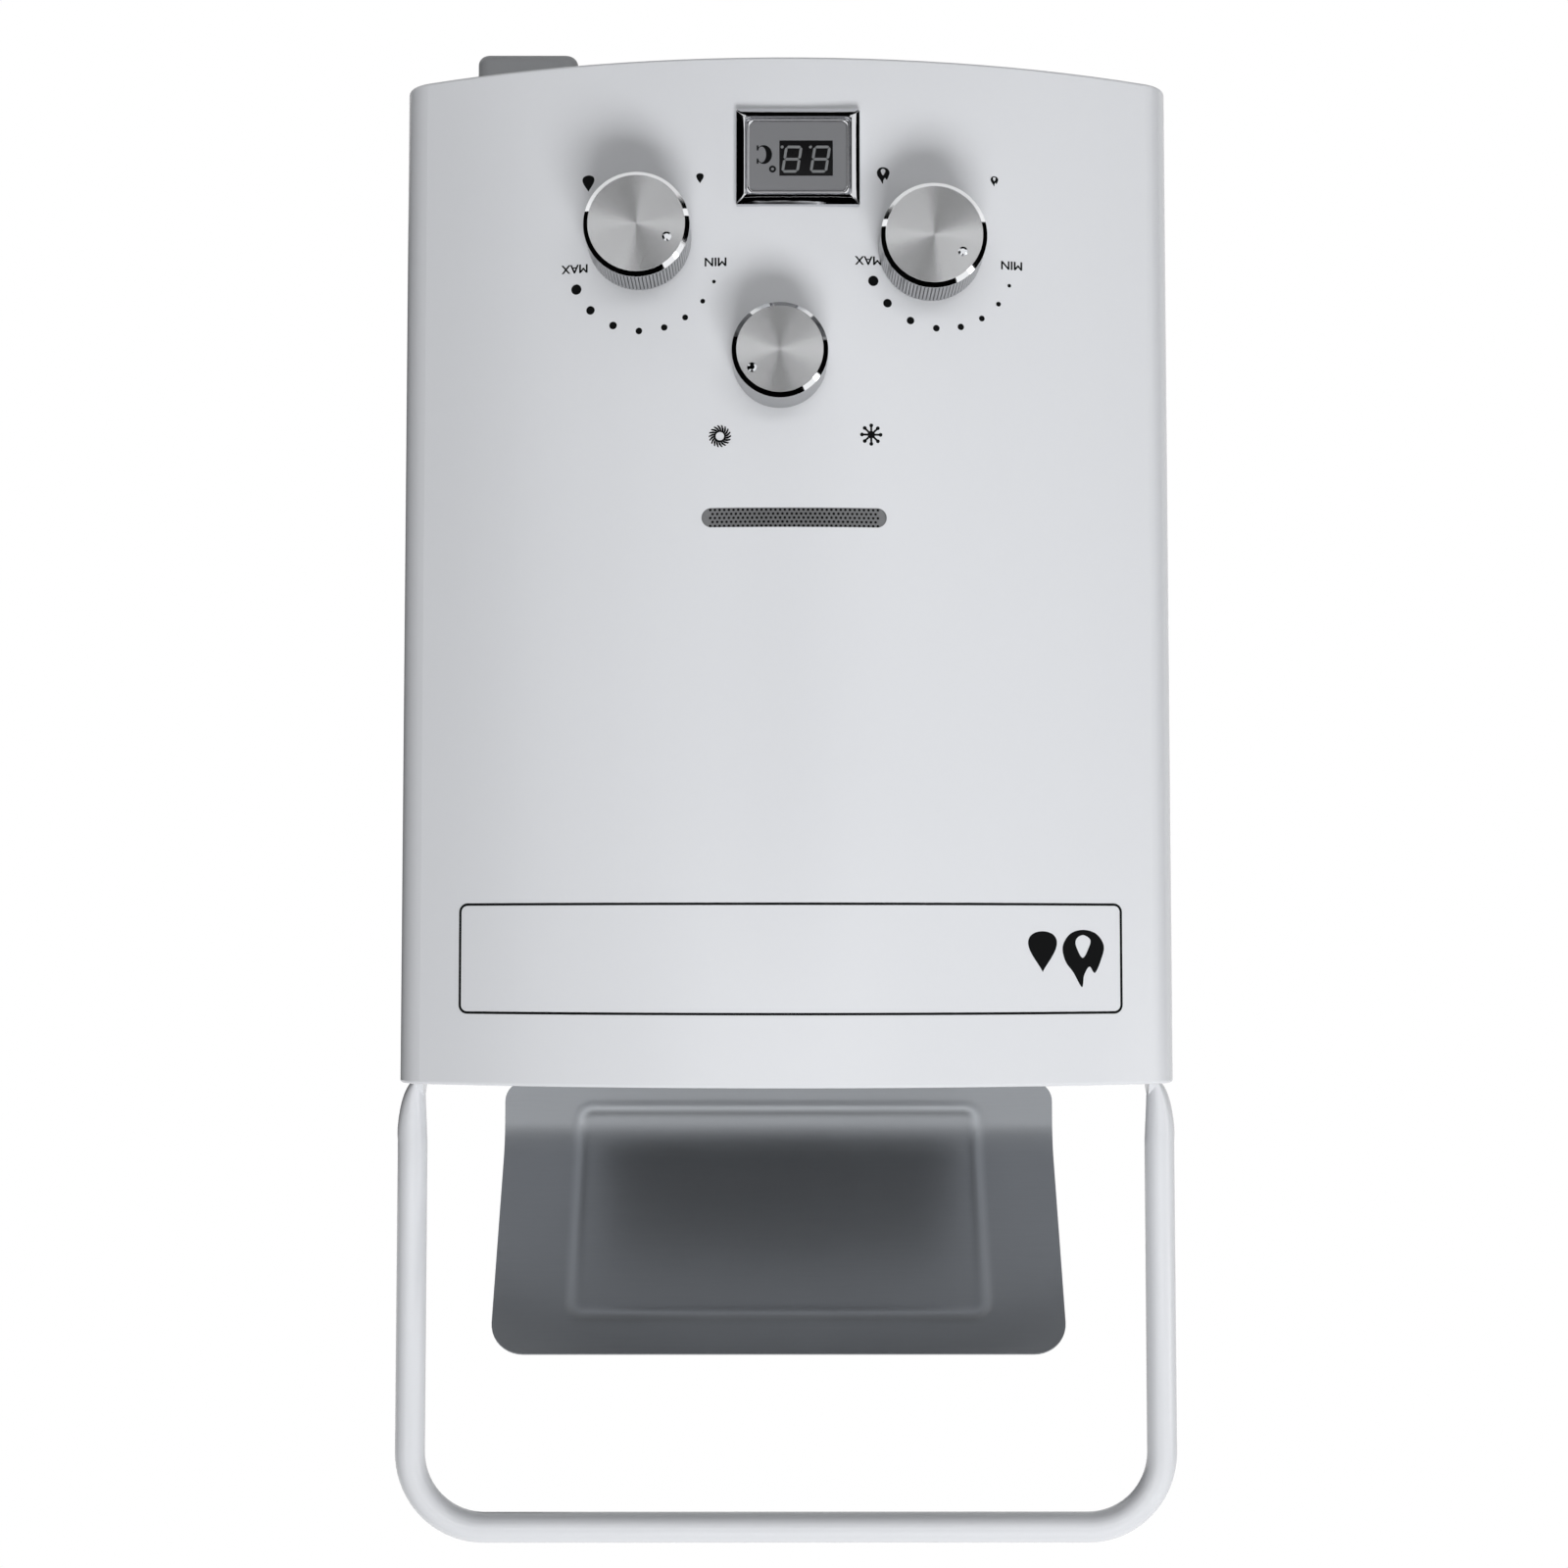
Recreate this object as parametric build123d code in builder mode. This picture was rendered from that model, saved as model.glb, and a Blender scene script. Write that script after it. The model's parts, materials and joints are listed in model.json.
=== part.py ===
from build123d import *
import os
from math import atan2, cos, radians, sin, sqrt

# Portable instantaneous propane water heater for a wall or a post.
# The origin lies on the back face, midway between the two hanging holes.
# X runs to the right, Y into the wall, Z up. Heights below are measured from
# the bottom edge of the case, and depths from the wall towards the user.

# ---------------------------------------------------------------- case sizes
CASE_WIDTH = 290.0
CASE_HEIGHT = 378.0
CASE_DEPTH = 130.0
CORNER_RADIUS = 15.0
FRONT_RADIUS = 330.0
SHEET = 0.8
LIP = 9.0
FOLD_RADIUS = 1.2
PANEL_SHEET = 1.0
FLANGE_DEPTH = 36.0
COVER_SETBACK = 1.0
HANG_DROP = 38.0
HANG_SPACING = 170.0
HANG_HOLE_RADIUS = 3.5
RIB_WIDTH = 12.0
RIB_DEPTH = 2.0
RIB_LENGTH = 230.0
RIB_SPACING = 180.0
RIB_HEIGHT = 165.0
AIR_SLOT_LENGTH = 26.0
AIR_SLOT_WIDTH = 4.0
AIR_SLOT_PITCH_X = 34.0
AIR_SLOT_PITCH_Y = 9.0
AIR_SLOT_ROWS = 3
AIR_SLOT_COLUMNS = 4
AIR_SLOT_X = -20.0
AIR_SLOT_DEPTH = 92.0

# ------------------------------------------------------------- fits and gaps
SHEET_FIT = 0.2
SCREW_FIT = 0.15
RUNNING_FIT = 0.05
SIDE_CLEARANCE = 0.3
MOUNT_FIT = 0.1

# -------------------------------------------------------- flue and deflector
FLUE_X = 3.0
FLUE_DEPTH = 55.0
FLUE_SLOT_LENGTH = 150.0
FLUE_SLOT_WIDTH = 7.0
FLUE_SLOT_PITCH = 11.0
FLUE_SLOT_COUNT = 5
DEFLECTOR_SHEET = 1.0
DEFLECTOR_WIDTH = 222.0
DEFLECTOR_BACK = 8.0
DEFLECTOR_GAP = 4.0
FLANGE_RISE = 28.5
HOOD_LENGTH = 93.0
HOOD_LEAN = 34.0
HOOD_BEND_RADIUS = 3.0
HOOD_CORNER = 13.0
FLANGE_CORNER = 8.0
FOOT_WIDTH = 150.0
FOOT_DEPTH = 16.0
FOOT_SCREW_SPACING = 110.0
BEAD_WIDTH = 6.0
BEAD_HEIGHT = 0.7
BEAD_SIDE_MARGIN = 27.0
BEAD_TOP_MARGIN = 13.0
BEAD_FOOT_MARGIN = 7.0
BEAD_CORNER = 8.0

# ------------------------------------------------------------- carry handle
TUBE_RADIUS = 6.0
TUBE_WALL = 1.0
HANDLE_REACH = 197.0
HANDLE_CORNER = 30.0
PIVOT_DEPTH = 10.0
PIVOT_DROP = 15.0
TAB_THICKNESS = 3.5
TAB_WIDTH = 15.0
TAB_TOP = 2.0
TAPER_LENGTH = 26.0
TAPER_SHARES = (0.0, 0.15, 0.38, 0.68, 1.0)
PIVOT_BOLT_RADIUS = 3.0
SPACER_THICKNESS = 1.5
SPACER_RADIUS = 8.0
BOLT_HEAD_RADIUS = 6.5
BOLT_HEAD_HEIGHT = 3.4
BOLT_SOCKET_RADIUS = 2.2
BOLT_END = 1.0
NUT_FLATS = 10.0
NUT_HEIGHT = 5.0

# ----------------------------------------------------------- control layout
KNOB_GAP = 1.0
KNOB_WALL = 3.0
KNOB_HUB_RADIUS = 7.0
KNOB_FRONT_WALL = 5.0
RIM_CHAMFER = 1.6
FACE_THICKNESS = 0.8
FACE_INSET = 0.3
STONE_RADIUS = 1.75
STONE_ORBIT = 12.0
STONE_HEIGHT = 0.5
STONE_SLOPE = 30.0
KNURL_DEPTH = 0.35
KNURL_MARGIN = 2.4
SPINDLE_RADIUS = 3.0
SPINDLE_HOLE_RADIUS = 6.5
SPINDLE_ENGAGEMENT = 12.0
GLAND_ENGAGEMENT = 8.0
GLAND_END_ROOM = 2.0
GAS_KNOB = (-52.8, 72.0)
WATER_KNOB = (54.2, 68.0)
SEASON_KNOB = (2.6, 113.7)
REGULATOR_KNOB_RADIUS = 19.1
REGULATOR_KNOB_LENGTH = 21.0
REGULATOR_KNURLS = 90
SEASON_KNOB_RADIUS = 17.3
SEASON_KNOB_LENGTH = 19.5
GAS_POINTER = 148.5
WATER_POINTER = 156.5
SEASON_POINTER = 33.6

# ------------------------------------------------------ display and viewport
DISPLAY_X = -4.0
DISPLAY_HEIGHT = 38.2
BEZEL_WIDTH = 45.4
BEZEL_HEIGHT = 35.6
BEZEL_STAND = 4.2
BEZEL_RIM = 3.9
BEZEL_BEVEL = 2.6
BEZEL_NECK = 6.0
BEZEL_NECK_WALL = 1.4
PANEL_RECESS = 1.8
PANEL_THICKNESS = 1.6
PANEL_CORNER = 2.5
LED_WIDTH = 19.6
LED_HEIGHT = 13.2
LED_SHIFT_X = -3.0
LED_SHIFT_Z = 0.6
MODULE_DEPTH = 11.0
VIEWPORT_X = -2.6
VIEWPORT_HEIGHT = 171.0
VIEWPORT_WIDTH = 67.6
VIEWPORT_SLOT = 7.2
MESH_SHEET = 0.5
MESH_MARGIN = 4.0
MESH_HOLE_RADIUS = 0.5
MESH_PITCH = 1.7
MESH_COLUMNS = 37
MESH_ROWS = 5

# ------------------------------------------------------------- battery bay
BATTERY_X = 99.8
BATTERY_BACK = 16.0
BATTERY_WIDTH = 38.4
BATTERY_LENGTH = 72.0
BATTERY_DROP = 16.0
BATTERY_COLLAR = 3.0
BATTERY_RISE = 66.0
BATTERY_WALL = 1.6
BATTERY_INSET = 0.9
BATTERY_CORNER = 5.0
LID_GAP = 0.3
LID_HINGE_RADIUS = 2.6
LID_PIN_RADIUS = 1.2
LID_KNUCKLE_LENGTH = 8.0
CONTACT_SHEET = 0.4
CONTACT_RADIUS = 7.0
CONTACT_RISE = 3.2
CONTACT_SLOPE = 15.0

# ----------------------------------------------- pipe stubs below the case
STUB_DEPTH = 50.0
STUB_RADIUS = 10.48
STUB_BORE_RADIUS = 7.0
STUB_DROP = 18.0
STUB_THREAD = 16.0
STUB_SHOULDER_RADIUS = 12.5
STUB_FLANGE_RADIUS = 14.5
STUB_FLANGE_HEIGHT = 3.0
STUB_HOLE_FIT = 0.5
HOT_STUB_X = -100.0
HOT_STUB_TOP = 24.0

# ------------------------------------------------ valves and their linkage
VALVE_BACK = 38.0
VALVE_LENGTH = 46.0
VALVE_WIDTH = 42.0
VALVE_HEIGHT = 40.0
VALVE_CORNER = 5.0
BONNET_RADIUS = 12.0
BONNET_LENGTH = 12.0
DIAPHRAGM_RADIUS = 29.0
DIAPHRAGM_HALF = 9.0
CAVITY_RADIUS = 20.0
CAVITY_DEPTH = 7.5
NECK_RADIUS = 7.0
NECK_LENGTH = 8.0
PUSH_ROD_RADIUS = 2.5
PUSH_ROD_DEPTH = 61.0
PUSH_ROD_TRAVEL = 3.5
COLLAR_RADIUS = 6.0
COLLAR_LENGTH = 3.0
COLLAR_RUN = 11.8
LEVER_LENGTH = 28.0
LEVER_SHEET = 1.0
LEVER_WIDTH = 14.0
LEVER_PIN_RADIUS = 1.5
LEVER_HUB_RADIUS = 3.0
SWITCH_WIDTH = 12.0
SWITCH_LENGTH = 18.0
SWITCH_HEIGHT = 22.0
SWITCH_RISE = 9.0
ROD_GRIP = 12.0
ROD_END_ROOM = 1.0
DISC_RADIUS = 14.0
DISC_THICKNESS = 2.0
DISC_GAP = 1.2
SEASON_VALVE_WIDTH = 31.0
SEASON_VALVE_HEIGHT = 14.0
SEASON_VALVE_LENGTH = 24.0
SEASON_VALVE_CORNER = 1.75
SEASON_BONNET_RADIUS = 9.0
GAS_PIPE_RADIUS = 4.0
GAS_PIPE_BEND = 8.0
GAS_FEED_X = 34.0
DRAIN_RADIUS = 5.0
DRAIN_HEAD_RADIUS = 8.0
DRAIN_HEAD_HEIGHT = 6.0
DRAIN_DROP = 12.0
DRAIN_OFFSET = 25.0

# ------------------------------------------------- burner and gas manifold
BURNER_COUNT = 8
BURNER_SIDE = 18.0
BURNER_BAR_WIDTH = 13.0
BURNER_LIFT = 3.3
BURNER_HEIGHT = 34.0
BURNER_SLOPE = 85.0
BURNER_BACK = 16.0
BURNER_FRONT_ROOM = 42.0
BURNER_THROAT_RADIUS = 4.5
RACK_SHEET = 1.2
RACK_WINDOW = 54.0
MANIFOLD_RADIUS = 8.0
MANIFOLD_FRONT_ROOM = 28.0
MANIFOLD_RISE = 13.0
MANIFOLD_OVERHANG = 12.0
MANIFOLD_BOSS = 3.0
NOZZLE_RADIUS = 2.5
NOZZLE_GAP = 0.6

# --------------------------------------- combustion chamber and exchanger
CHAMBER_SIDE_ROOM = 50.0
CHAMBER_FRONT_ROOM = 36.0
CHAMBER_BACK = 14.0
CHAMBER_SHEET = 0.8
CHAMBER_LIFT = 6.0
CHAMBER_TOP_ROOM = 53.0
FIN_COUNT = 30
FIN_SHEET = 0.5
FIN_HEIGHT = 34.0
FIN_TUBE_RADIUS = 7.5
FIN_TUBE_COUNT = 3
FIN_TUBE_PITCH = 24.0
HOOD_TOP_WIDTH = 162.0
HOOD_TOP_LENGTH = 58.0
PIPE_RADIUS = 6.5
PIPE_BEND = 12.0
UNION_GAP = 4.0
RISER_OFFSET = 18.0
PIPE_CLEARANCE = 2.2
COLD_CROSSING = 16.0
HOT_OFFSET_LOW = 20.0
HOT_OFFSET_HIGH = 60.0
CHAMBER_FOOT_WIDTH = 16.0
CHAMBER_FOOT_HEIGHT = 20.0
CHAMBER_FOOT_SPACING_X = 110.0
CHAMBER_FOOT_SPACING_Z = 120.0

# ---------------------------------------------------- ignition and sensors
IGNITER_LENGTH = 46.0
IGNITER_HEIGHT = 70.0
IGNITER_BASE = 120.0
IGNITER_CORNER = 2.0
ELECTRODE_RADIUS = 1.2
INSULATOR_RADIUS = 4.0
INSULATOR_LENGTH = 26.0
INSULATOR_RISE = 2.0
ELECTRODE_SPREAD = 44.0
ELECTRODE_REACH = 22.0
ELECTRODE_GAP = 3.0
ELECTRODE_BEND = 2.4
THERMOSTAT_HEIGHT = 240.0
THERMOSTAT_RADIUS = 8.0
THERMOSTAT_THICKNESS = 4.0
SCREW_RADIUS = 1.6
SCREW_HEAD_RADIUS = 3.4
SCREW_HEAD_HEIGHT = 1.7
SCREW_LENGTH = 6.0
COVER_SCREW_DEPTH = 60.0

# ------------------------------------------------------------ worked out
HANG_HEIGHT = CASE_HEIGHT - HANG_DROP
FRONT_CENTRE = FRONT_RADIUS - CASE_DEPTH
CORNER_X = CASE_WIDTH / 2 - CORNER_RADIUS
CORNER_DEPTH = sqrt((FRONT_RADIUS - CORNER_RADIUS) ** 2 - CORNER_X ** 2) - FRONT_CENTRE
TOP_SKIN = CASE_HEIGHT - SHEET
TOP_PANEL_BASE = TOP_SKIN - PANEL_SHEET
FLOOR_TOP = SHEET + PANEL_SHEET
INNER_HALF = CASE_WIDTH / 2 - SHEET - SHEET_FIT
CUT_MARGIN = 5.0
SELECT_MARGIN = 0.05

PIVOT_HEIGHT = CASE_HEIGHT - PIVOT_DROP
LEG_X = CASE_WIDTH / 2 + SIDE_CLEARANCE + TUBE_RADIUS
TAB_INNER_X = CASE_WIDTH / 2 + SPACER_THICKNESS + RUNNING_FIT
TAB_OUTER_X = TAB_INNER_X + TAB_THICKNESS
HEAD_X = TAB_OUTER_X + RUNNING_FIT
COVER_SCREW_X = CASE_WIDTH / 2 - SHEET - LIP / 2
BATTERY_DEPTH = BATTERY_BACK + BATTERY_LENGTH / 2

VALVE_FRONT = VALVE_BACK + VALVE_LENGTH
BONNET_FRONT = VALVE_FRONT + BONNET_LENGTH
GAS_VALVE_RIGHT = GAS_KNOB[0] + VALVE_WIDTH / 2
WATER_VALVE_LEFT = WATER_KNOB[0] - VALVE_WIDTH / 2
GAS_VALVE_BASE = GAS_KNOB[1] - VALVE_HEIGHT / 2
WATER_VALVE_BASE = WATER_KNOB[1] - VALVE_HEIGHT / 2
WATER_VALVE_TOP = WATER_KNOB[1] + VALVE_HEIGHT / 2
DIAPHRAGM_FACE_X = WATER_VALVE_LEFT - DIAPHRAGM_HALF
ROD_HEIGHT = WATER_KNOB[1]
ROD_PLACE = (-PUSH_ROD_DEPTH, ROD_HEIGHT)
COLLAR_X = GAS_VALVE_RIGHT + NECK_LENGTH + COLLAR_RUN
DRAIN_DEPTH = STUB_DEPTH + DRAIN_OFFSET

BURNER_BOTTOM = SEASON_KNOB[1] + SEASON_VALVE_HEIGHT / 2 + BURNER_LIFT
BURNER_TOP = BURNER_BOTTOM + BURNER_HEIGHT
BURNER_FRONT = CASE_DEPTH - BURNER_FRONT_ROOM
MANIFOLD_DEPTH = CASE_DEPTH - MANIFOLD_FRONT_ROOM
MANIFOLD_HEIGHT = BURNER_BOTTOM + MANIFOLD_RISE
CHAMBER_WIDTH = CASE_WIDTH - 2 * CHAMBER_SIDE_ROOM
CHAMBER_LENGTH = CASE_DEPTH - CHAMBER_BACK - CHAMBER_FRONT_ROOM
CHAMBER_BOTTOM = BURNER_TOP + CHAMBER_LIFT
CHAMBER_TOP = CASE_HEIGHT - CHAMBER_TOP_ROOM
BURNER_SPAN = CHAMBER_WIDTH - 2 * BURNER_SIDE
BURNER_PITCH = BURNER_SPAN / (BURNER_COUNT - 1)
CHAMBER_DEPTH = CHAMBER_BACK + CHAMBER_LENGTH / 2
FIN_TUBE_HEIGHT = CHAMBER_TOP - FIN_HEIGHT / 2


def level(height):
    """Horizontal plane at a height above the bottom of the case."""
    return Plane.XY.offset(height - HANG_HEIGHT)


def facing(depth):
    """Upright plane at a depth in front of the wall; local y is the height."""
    return Plane(origin=(0, -depth, -HANG_HEIGHT), x_dir=(1, 0, 0), z_dir=(0, -1, 0))


def across(x):
    """Upright plane square to X; local x is minus the depth, local y the height."""
    return Plane(origin=(x, 0, -HANG_HEIGHT), x_dir=(0, 1, 0), z_dir=(1, 0, 0))


def front_depth(x):
    """Depth of the bowed front skin at a sideways place x."""
    return sqrt(FRONT_RADIUS ** 2 - x ** 2) - FRONT_CENTRE


def write(part, name):
    """Label one finished piece and write its STEP file."""
    part.label = name
    export_step(part, f"parts/{name}.step")


def case_outline(inset, back, mode=Mode.ADD):
    """Plan of the case, inside its outer skin by inset, from the depth back to the bowed front."""
    half = CASE_WIDTH / 2 - inset
    reach = FRONT_RADIUS - inset
    swing = atan2(CORNER_X, CORNER_DEPTH + FRONT_CENTRE)
    meeting = (-reach * sin(swing), FRONT_CENTRE - reach * cos(swing))
    with BuildLine() as outline:
        Polyline((0, -back), (-half, -back), (-half, -CORNER_DEPTH))
        corner = TangentArc((-half, -CORNER_DEPTH), meeting, tangent=(0, -1))
        TangentArc(corner @ 1, (0, inset - CASE_DEPTH), tangent=corner % 1)
        mirror(about=Plane.YZ)
    make_face(outline.edges(), mode=mode)


def screw(name, seat, x, y):
    """Pan-head screw with a cross recess, its head standing on the seat plane."""
    with BuildPart() as piece:
        with BuildSketch(seat):
            with Locations((x, y)):
                Circle(SCREW_HEAD_RADIUS)
        extrude(amount=SCREW_HEAD_HEIGHT)
        fillet(piece.edges().sort_by(Axis(seat.origin, seat.z_dir))[-1], SCREW_HEAD_HEIGHT / 2)
        with BuildSketch(seat):
            with Locations((x, y)):
                Circle(SCREW_RADIUS)
        extrude(amount=-SCREW_LENGTH)
        with BuildSketch(seat.offset(SCREW_HEAD_HEIGHT)):
            with Locations((x, y)):
                Rectangle(SCREW_HEAD_RADIUS, SCREW_RADIUS / 2)
                Rectangle(SCREW_RADIUS / 2, SCREW_HEAD_RADIUS)
        extrude(amount=-SCREW_HEAD_HEIGHT / 2, mode=Mode.SUBTRACT)
    write(piece.part, name)


os.makedirs("parts", exist_ok=True)

# ================================================================ the case
# The cover is one folded sheet: bowed front, two sides, and a lip turned in
# along the top and the bottom.
with BuildPart() as front_cover:
    with BuildSketch(level(0)):
        case_outline(0, COVER_SETBACK)
    extrude(amount=CASE_HEIGHT)
    rims = front_cover.faces().filter_by(Axis.Z).edges()
    fillet(rims.filter_by(lambda edge: edge.center().Y < -COVER_SETBACK - SELECT_MARGIN), FOLD_RADIUS)
    with BuildSketch(level(SHEET)):
        case_outline(SHEET, COVER_SETBACK - CUT_MARGIN)
    extrude(amount=CASE_HEIGHT - 2 * SHEET, mode=Mode.SUBTRACT)
    with BuildSketch(level(0)):
        case_outline(SHEET + LIP, COVER_SETBACK - CUT_MARGIN)
    extrude(amount=CASE_HEIGHT, mode=Mode.SUBTRACT)
    # openings in the bowed front
    with BuildSketch(facing(CORNER_DEPTH)):
        with Locations(GAS_KNOB, WATER_KNOB, SEASON_KNOB):
            Circle(SPINDLE_HOLE_RADIUS)
        with Locations((VIEWPORT_X, VIEWPORT_HEIGHT)):
            SlotOverall(VIEWPORT_WIDTH, VIEWPORT_SLOT)
        with Locations((DISPLAY_X, DISPLAY_HEIGHT)):
            Rectangle(BEZEL_WIDTH - 2 * BEZEL_RIM + 2 * BEZEL_NECK_WALL + 2 * MOUNT_FIT,
                      BEZEL_HEIGHT - 2 * BEZEL_RIM + 2 * BEZEL_NECK_WALL + 2 * MOUNT_FIT)
    extrude(amount=CASE_DEPTH, mode=Mode.SUBTRACT)
    # handle pivots through both sides
    with BuildSketch(across(-CASE_WIDTH)):
        with Locations((-PIVOT_DEPTH, PIVOT_HEIGHT)):
            Circle(PIVOT_BOLT_RADIUS + SCREW_FIT)
    extrude(amount=2 * CASE_WIDTH, mode=Mode.SUBTRACT)
    # screw holes through both lips
    with BuildSketch(level(-CUT_MARGIN)):
        with Locations((-COVER_SCREW_X, -COVER_SCREW_DEPTH), (COVER_SCREW_X, -COVER_SCREW_DEPTH)):
            Circle(SCREW_RADIUS + SCREW_FIT)
    extrude(amount=CASE_HEIGHT + 2 * CUT_MARGIN, mode=Mode.SUBTRACT)
write(front_cover.part, "front_cover")

# Back plate with side flanges that carry the handle, and two pressed ribs.
with BuildPart() as back_plate:
    with BuildSketch(level(FLOOR_TOP)):
        with Locations((0, -PANEL_SHEET / 2)):
            Rectangle(2 * INNER_HALF, PANEL_SHEET)
        with Locations((PANEL_SHEET / 2 - INNER_HALF, -FLANGE_DEPTH / 2),
                       (INNER_HALF - PANEL_SHEET / 2, -FLANGE_DEPTH / 2)):
            Rectangle(PANEL_SHEET, FLANGE_DEPTH)
    extrude(amount=TOP_PANEL_BASE - FLOOR_TOP)
    with BuildSketch(facing(0)):
        with Locations((0, RIB_HEIGHT)):
            with GridLocations(RIB_SPACING, 0, 2, 1):
                SlotOverall(RIB_LENGTH, RIB_WIDTH, rotation=90)
    extrude(amount=PANEL_SHEET + RIB_DEPTH)
    with BuildSketch(facing(0)):
        with Locations((0, RIB_HEIGHT)):
            with GridLocations(RIB_SPACING, 0, 2, 1):
                SlotOverall(RIB_LENGTH - 2 * PANEL_SHEET, RIB_WIDTH - 2 * PANEL_SHEET, rotation=90)
    extrude(amount=RIB_DEPTH, mode=Mode.SUBTRACT)
    with BuildSketch(facing(-CUT_MARGIN)):
        with Locations((0, HANG_HEIGHT)):
            with GridLocations(HANG_SPACING, 0, 2, 1):
                Circle(HANG_HOLE_RADIUS)
    extrude(amount=2 * CUT_MARGIN, mode=Mode.SUBTRACT)
    with BuildSketch(across(-CASE_WIDTH)):
        with Locations((-PIVOT_DEPTH, PIVOT_HEIGHT)):
            Circle(PIVOT_BOLT_RADIUS + SCREW_FIT)
    extrude(amount=2 * CASE_WIDTH, mode=Mode.SUBTRACT)
    for sign in (-1, 1):
        with BuildSketch(across(sign * (INNER_HALF - PANEL_SHEET))):
            with Locations((-PIVOT_DEPTH, PIVOT_HEIGHT)):
                RegularPolygon(NUT_FLATS / 2, 6, major_radius=False)
                Circle(PIVOT_BOLT_RADIUS + RUNNING_FIT, mode=Mode.SUBTRACT)
        extrude(amount=-sign * NUT_HEIGHT)
write(back_plate.part, "back_plate")

# Top panel with the flue slots.
with BuildPart() as top_panel:
    with BuildSketch(level(TOP_PANEL_BASE)):
        case_outline(SHEET + SHEET_FIT, 0)
        with Locations((FLUE_X, -FLUE_DEPTH)):
            with GridLocations(0, FLUE_SLOT_PITCH, 1, FLUE_SLOT_COUNT):
                SlotOverall(FLUE_SLOT_LENGTH, FLUE_SLOT_WIDTH, mode=Mode.SUBTRACT)
        with Locations((-COVER_SCREW_X, -COVER_SCREW_DEPTH), (COVER_SCREW_X, -COVER_SCREW_DEPTH)):
            Circle(SCREW_RADIUS + SCREW_FIT, mode=Mode.SUBTRACT)
        with Locations((FLUE_X, -DEFLECTOR_BACK - FOOT_DEPTH / 2)):
            with GridLocations(FOOT_SCREW_SPACING, 0, 2, 1):
                Circle(SCREW_RADIUS + SCREW_FIT, mode=Mode.SUBTRACT)
    extrude(amount=PANEL_SHEET)
write(top_panel.part, "top_panel")

# Bottom plate: pipe stubs, battery bay, drain and rows of air slots.
with BuildPart() as bottom_plate:
    with BuildSketch(level(SHEET)):
        case_outline(SHEET + SHEET_FIT, 0)
        with Locations((GAS_KNOB[0], -STUB_DEPTH), (WATER_KNOB[0], -STUB_DEPTH), (HOT_STUB_X, -STUB_DEPTH)):
            Circle(STUB_SHOULDER_RADIUS + STUB_HOLE_FIT, mode=Mode.SUBTRACT)
        with Locations((BATTERY_X, -BATTERY_DEPTH)):
            Rectangle(BATTERY_WIDTH - 2 * BATTERY_INSET + 2 * SHEET_FIT,
                      BATTERY_LENGTH - 2 * BATTERY_INSET + 2 * SHEET_FIT, mode=Mode.SUBTRACT)
        with Locations((AIR_SLOT_X, -AIR_SLOT_DEPTH)):
            with GridLocations(AIR_SLOT_PITCH_X, AIR_SLOT_PITCH_Y, AIR_SLOT_COLUMNS, AIR_SLOT_ROWS):
                SlotOverall(AIR_SLOT_LENGTH, AIR_SLOT_WIDTH, mode=Mode.SUBTRACT)
        with Locations((WATER_KNOB[0], -DRAIN_DEPTH)):
            Circle(DRAIN_RADIUS + STUB_HOLE_FIT, mode=Mode.SUBTRACT)
        with Locations((-COVER_SCREW_X, -COVER_SCREW_DEPTH), (COVER_SCREW_X, -COVER_SCREW_DEPTH)):
            Circle(SCREW_RADIUS + SCREW_FIT, mode=Mode.SUBTRACT)
    extrude(amount=PANEL_SHEET)
write(bottom_plate.part, "bottom_plate")

for side, place in (("left", -COVER_SCREW_X), ("right", COVER_SCREW_X)):
    screw(f"top_screw_{side}", level(CASE_HEIGHT), place, -COVER_SCREW_DEPTH)
    screw(f"bottom_screw_{side}", -level(0), place, COVER_SCREW_DEPTH)
    screw(f"deflector_screw_{side}", level(TOP_SKIN + DEFLECTOR_SHEET),
          FLUE_X + FOOT_SCREW_SPACING / 2 * (1 if place > 0 else -1), -DEFLECTOR_BACK - FOOT_DEPTH / 2)

# ========================================================= flue deflector
# One bent sheet: a narrow foot on the top panel, an upright flange and a hood
# that leans forward over the flue, with a pressed rectangular bead across the bend.
BEND_HEIGHT = CASE_HEIGHT + FLANGE_RISE
HOOD_TIP = (-DEFLECTOR_BACK - HOOD_LENGTH * sin(radians(HOOD_LEAN)),
            BEND_HEIGHT + HOOD_LENGTH * cos(radians(HOOD_LEAN)))
HOOD_PLANE = Plane(origin=(FLUE_X, -DEFLECTOR_BACK, BEND_HEIGHT - HANG_HEIGHT), x_dir=(1, 0, 0),
                   z_dir=(0, -cos(radians(HOOD_LEAN)), -sin(radians(HOOD_LEAN))))
FLANGE_PLANE = Plane(origin=HOOD_PLANE.origin, x_dir=(-1, 0, 0), z_dir=(0, -1, 0))
BEAD_OUTER_WIDTH = DEFLECTOR_WIDTH - 2 * BEAD_SIDE_MARGIN
BEAD_INNER_WIDTH = BEAD_OUTER_WIDTH - 2 * BEAD_WIDTH
HOOD_BEAD_TOP = HOOD_LENGTH - BEAD_TOP_MARGIN
FLANGE_BEAD_DROP = FLANGE_RISE - DEFLECTOR_GAP - BEAD_FOOT_MARGIN


def spans_sheet(edge):
    """Whether an edge runs straight through the deflector's sheet."""
    return abs(edge.length - DEFLECTOR_SHEET) < SELECT_MARGIN


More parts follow.
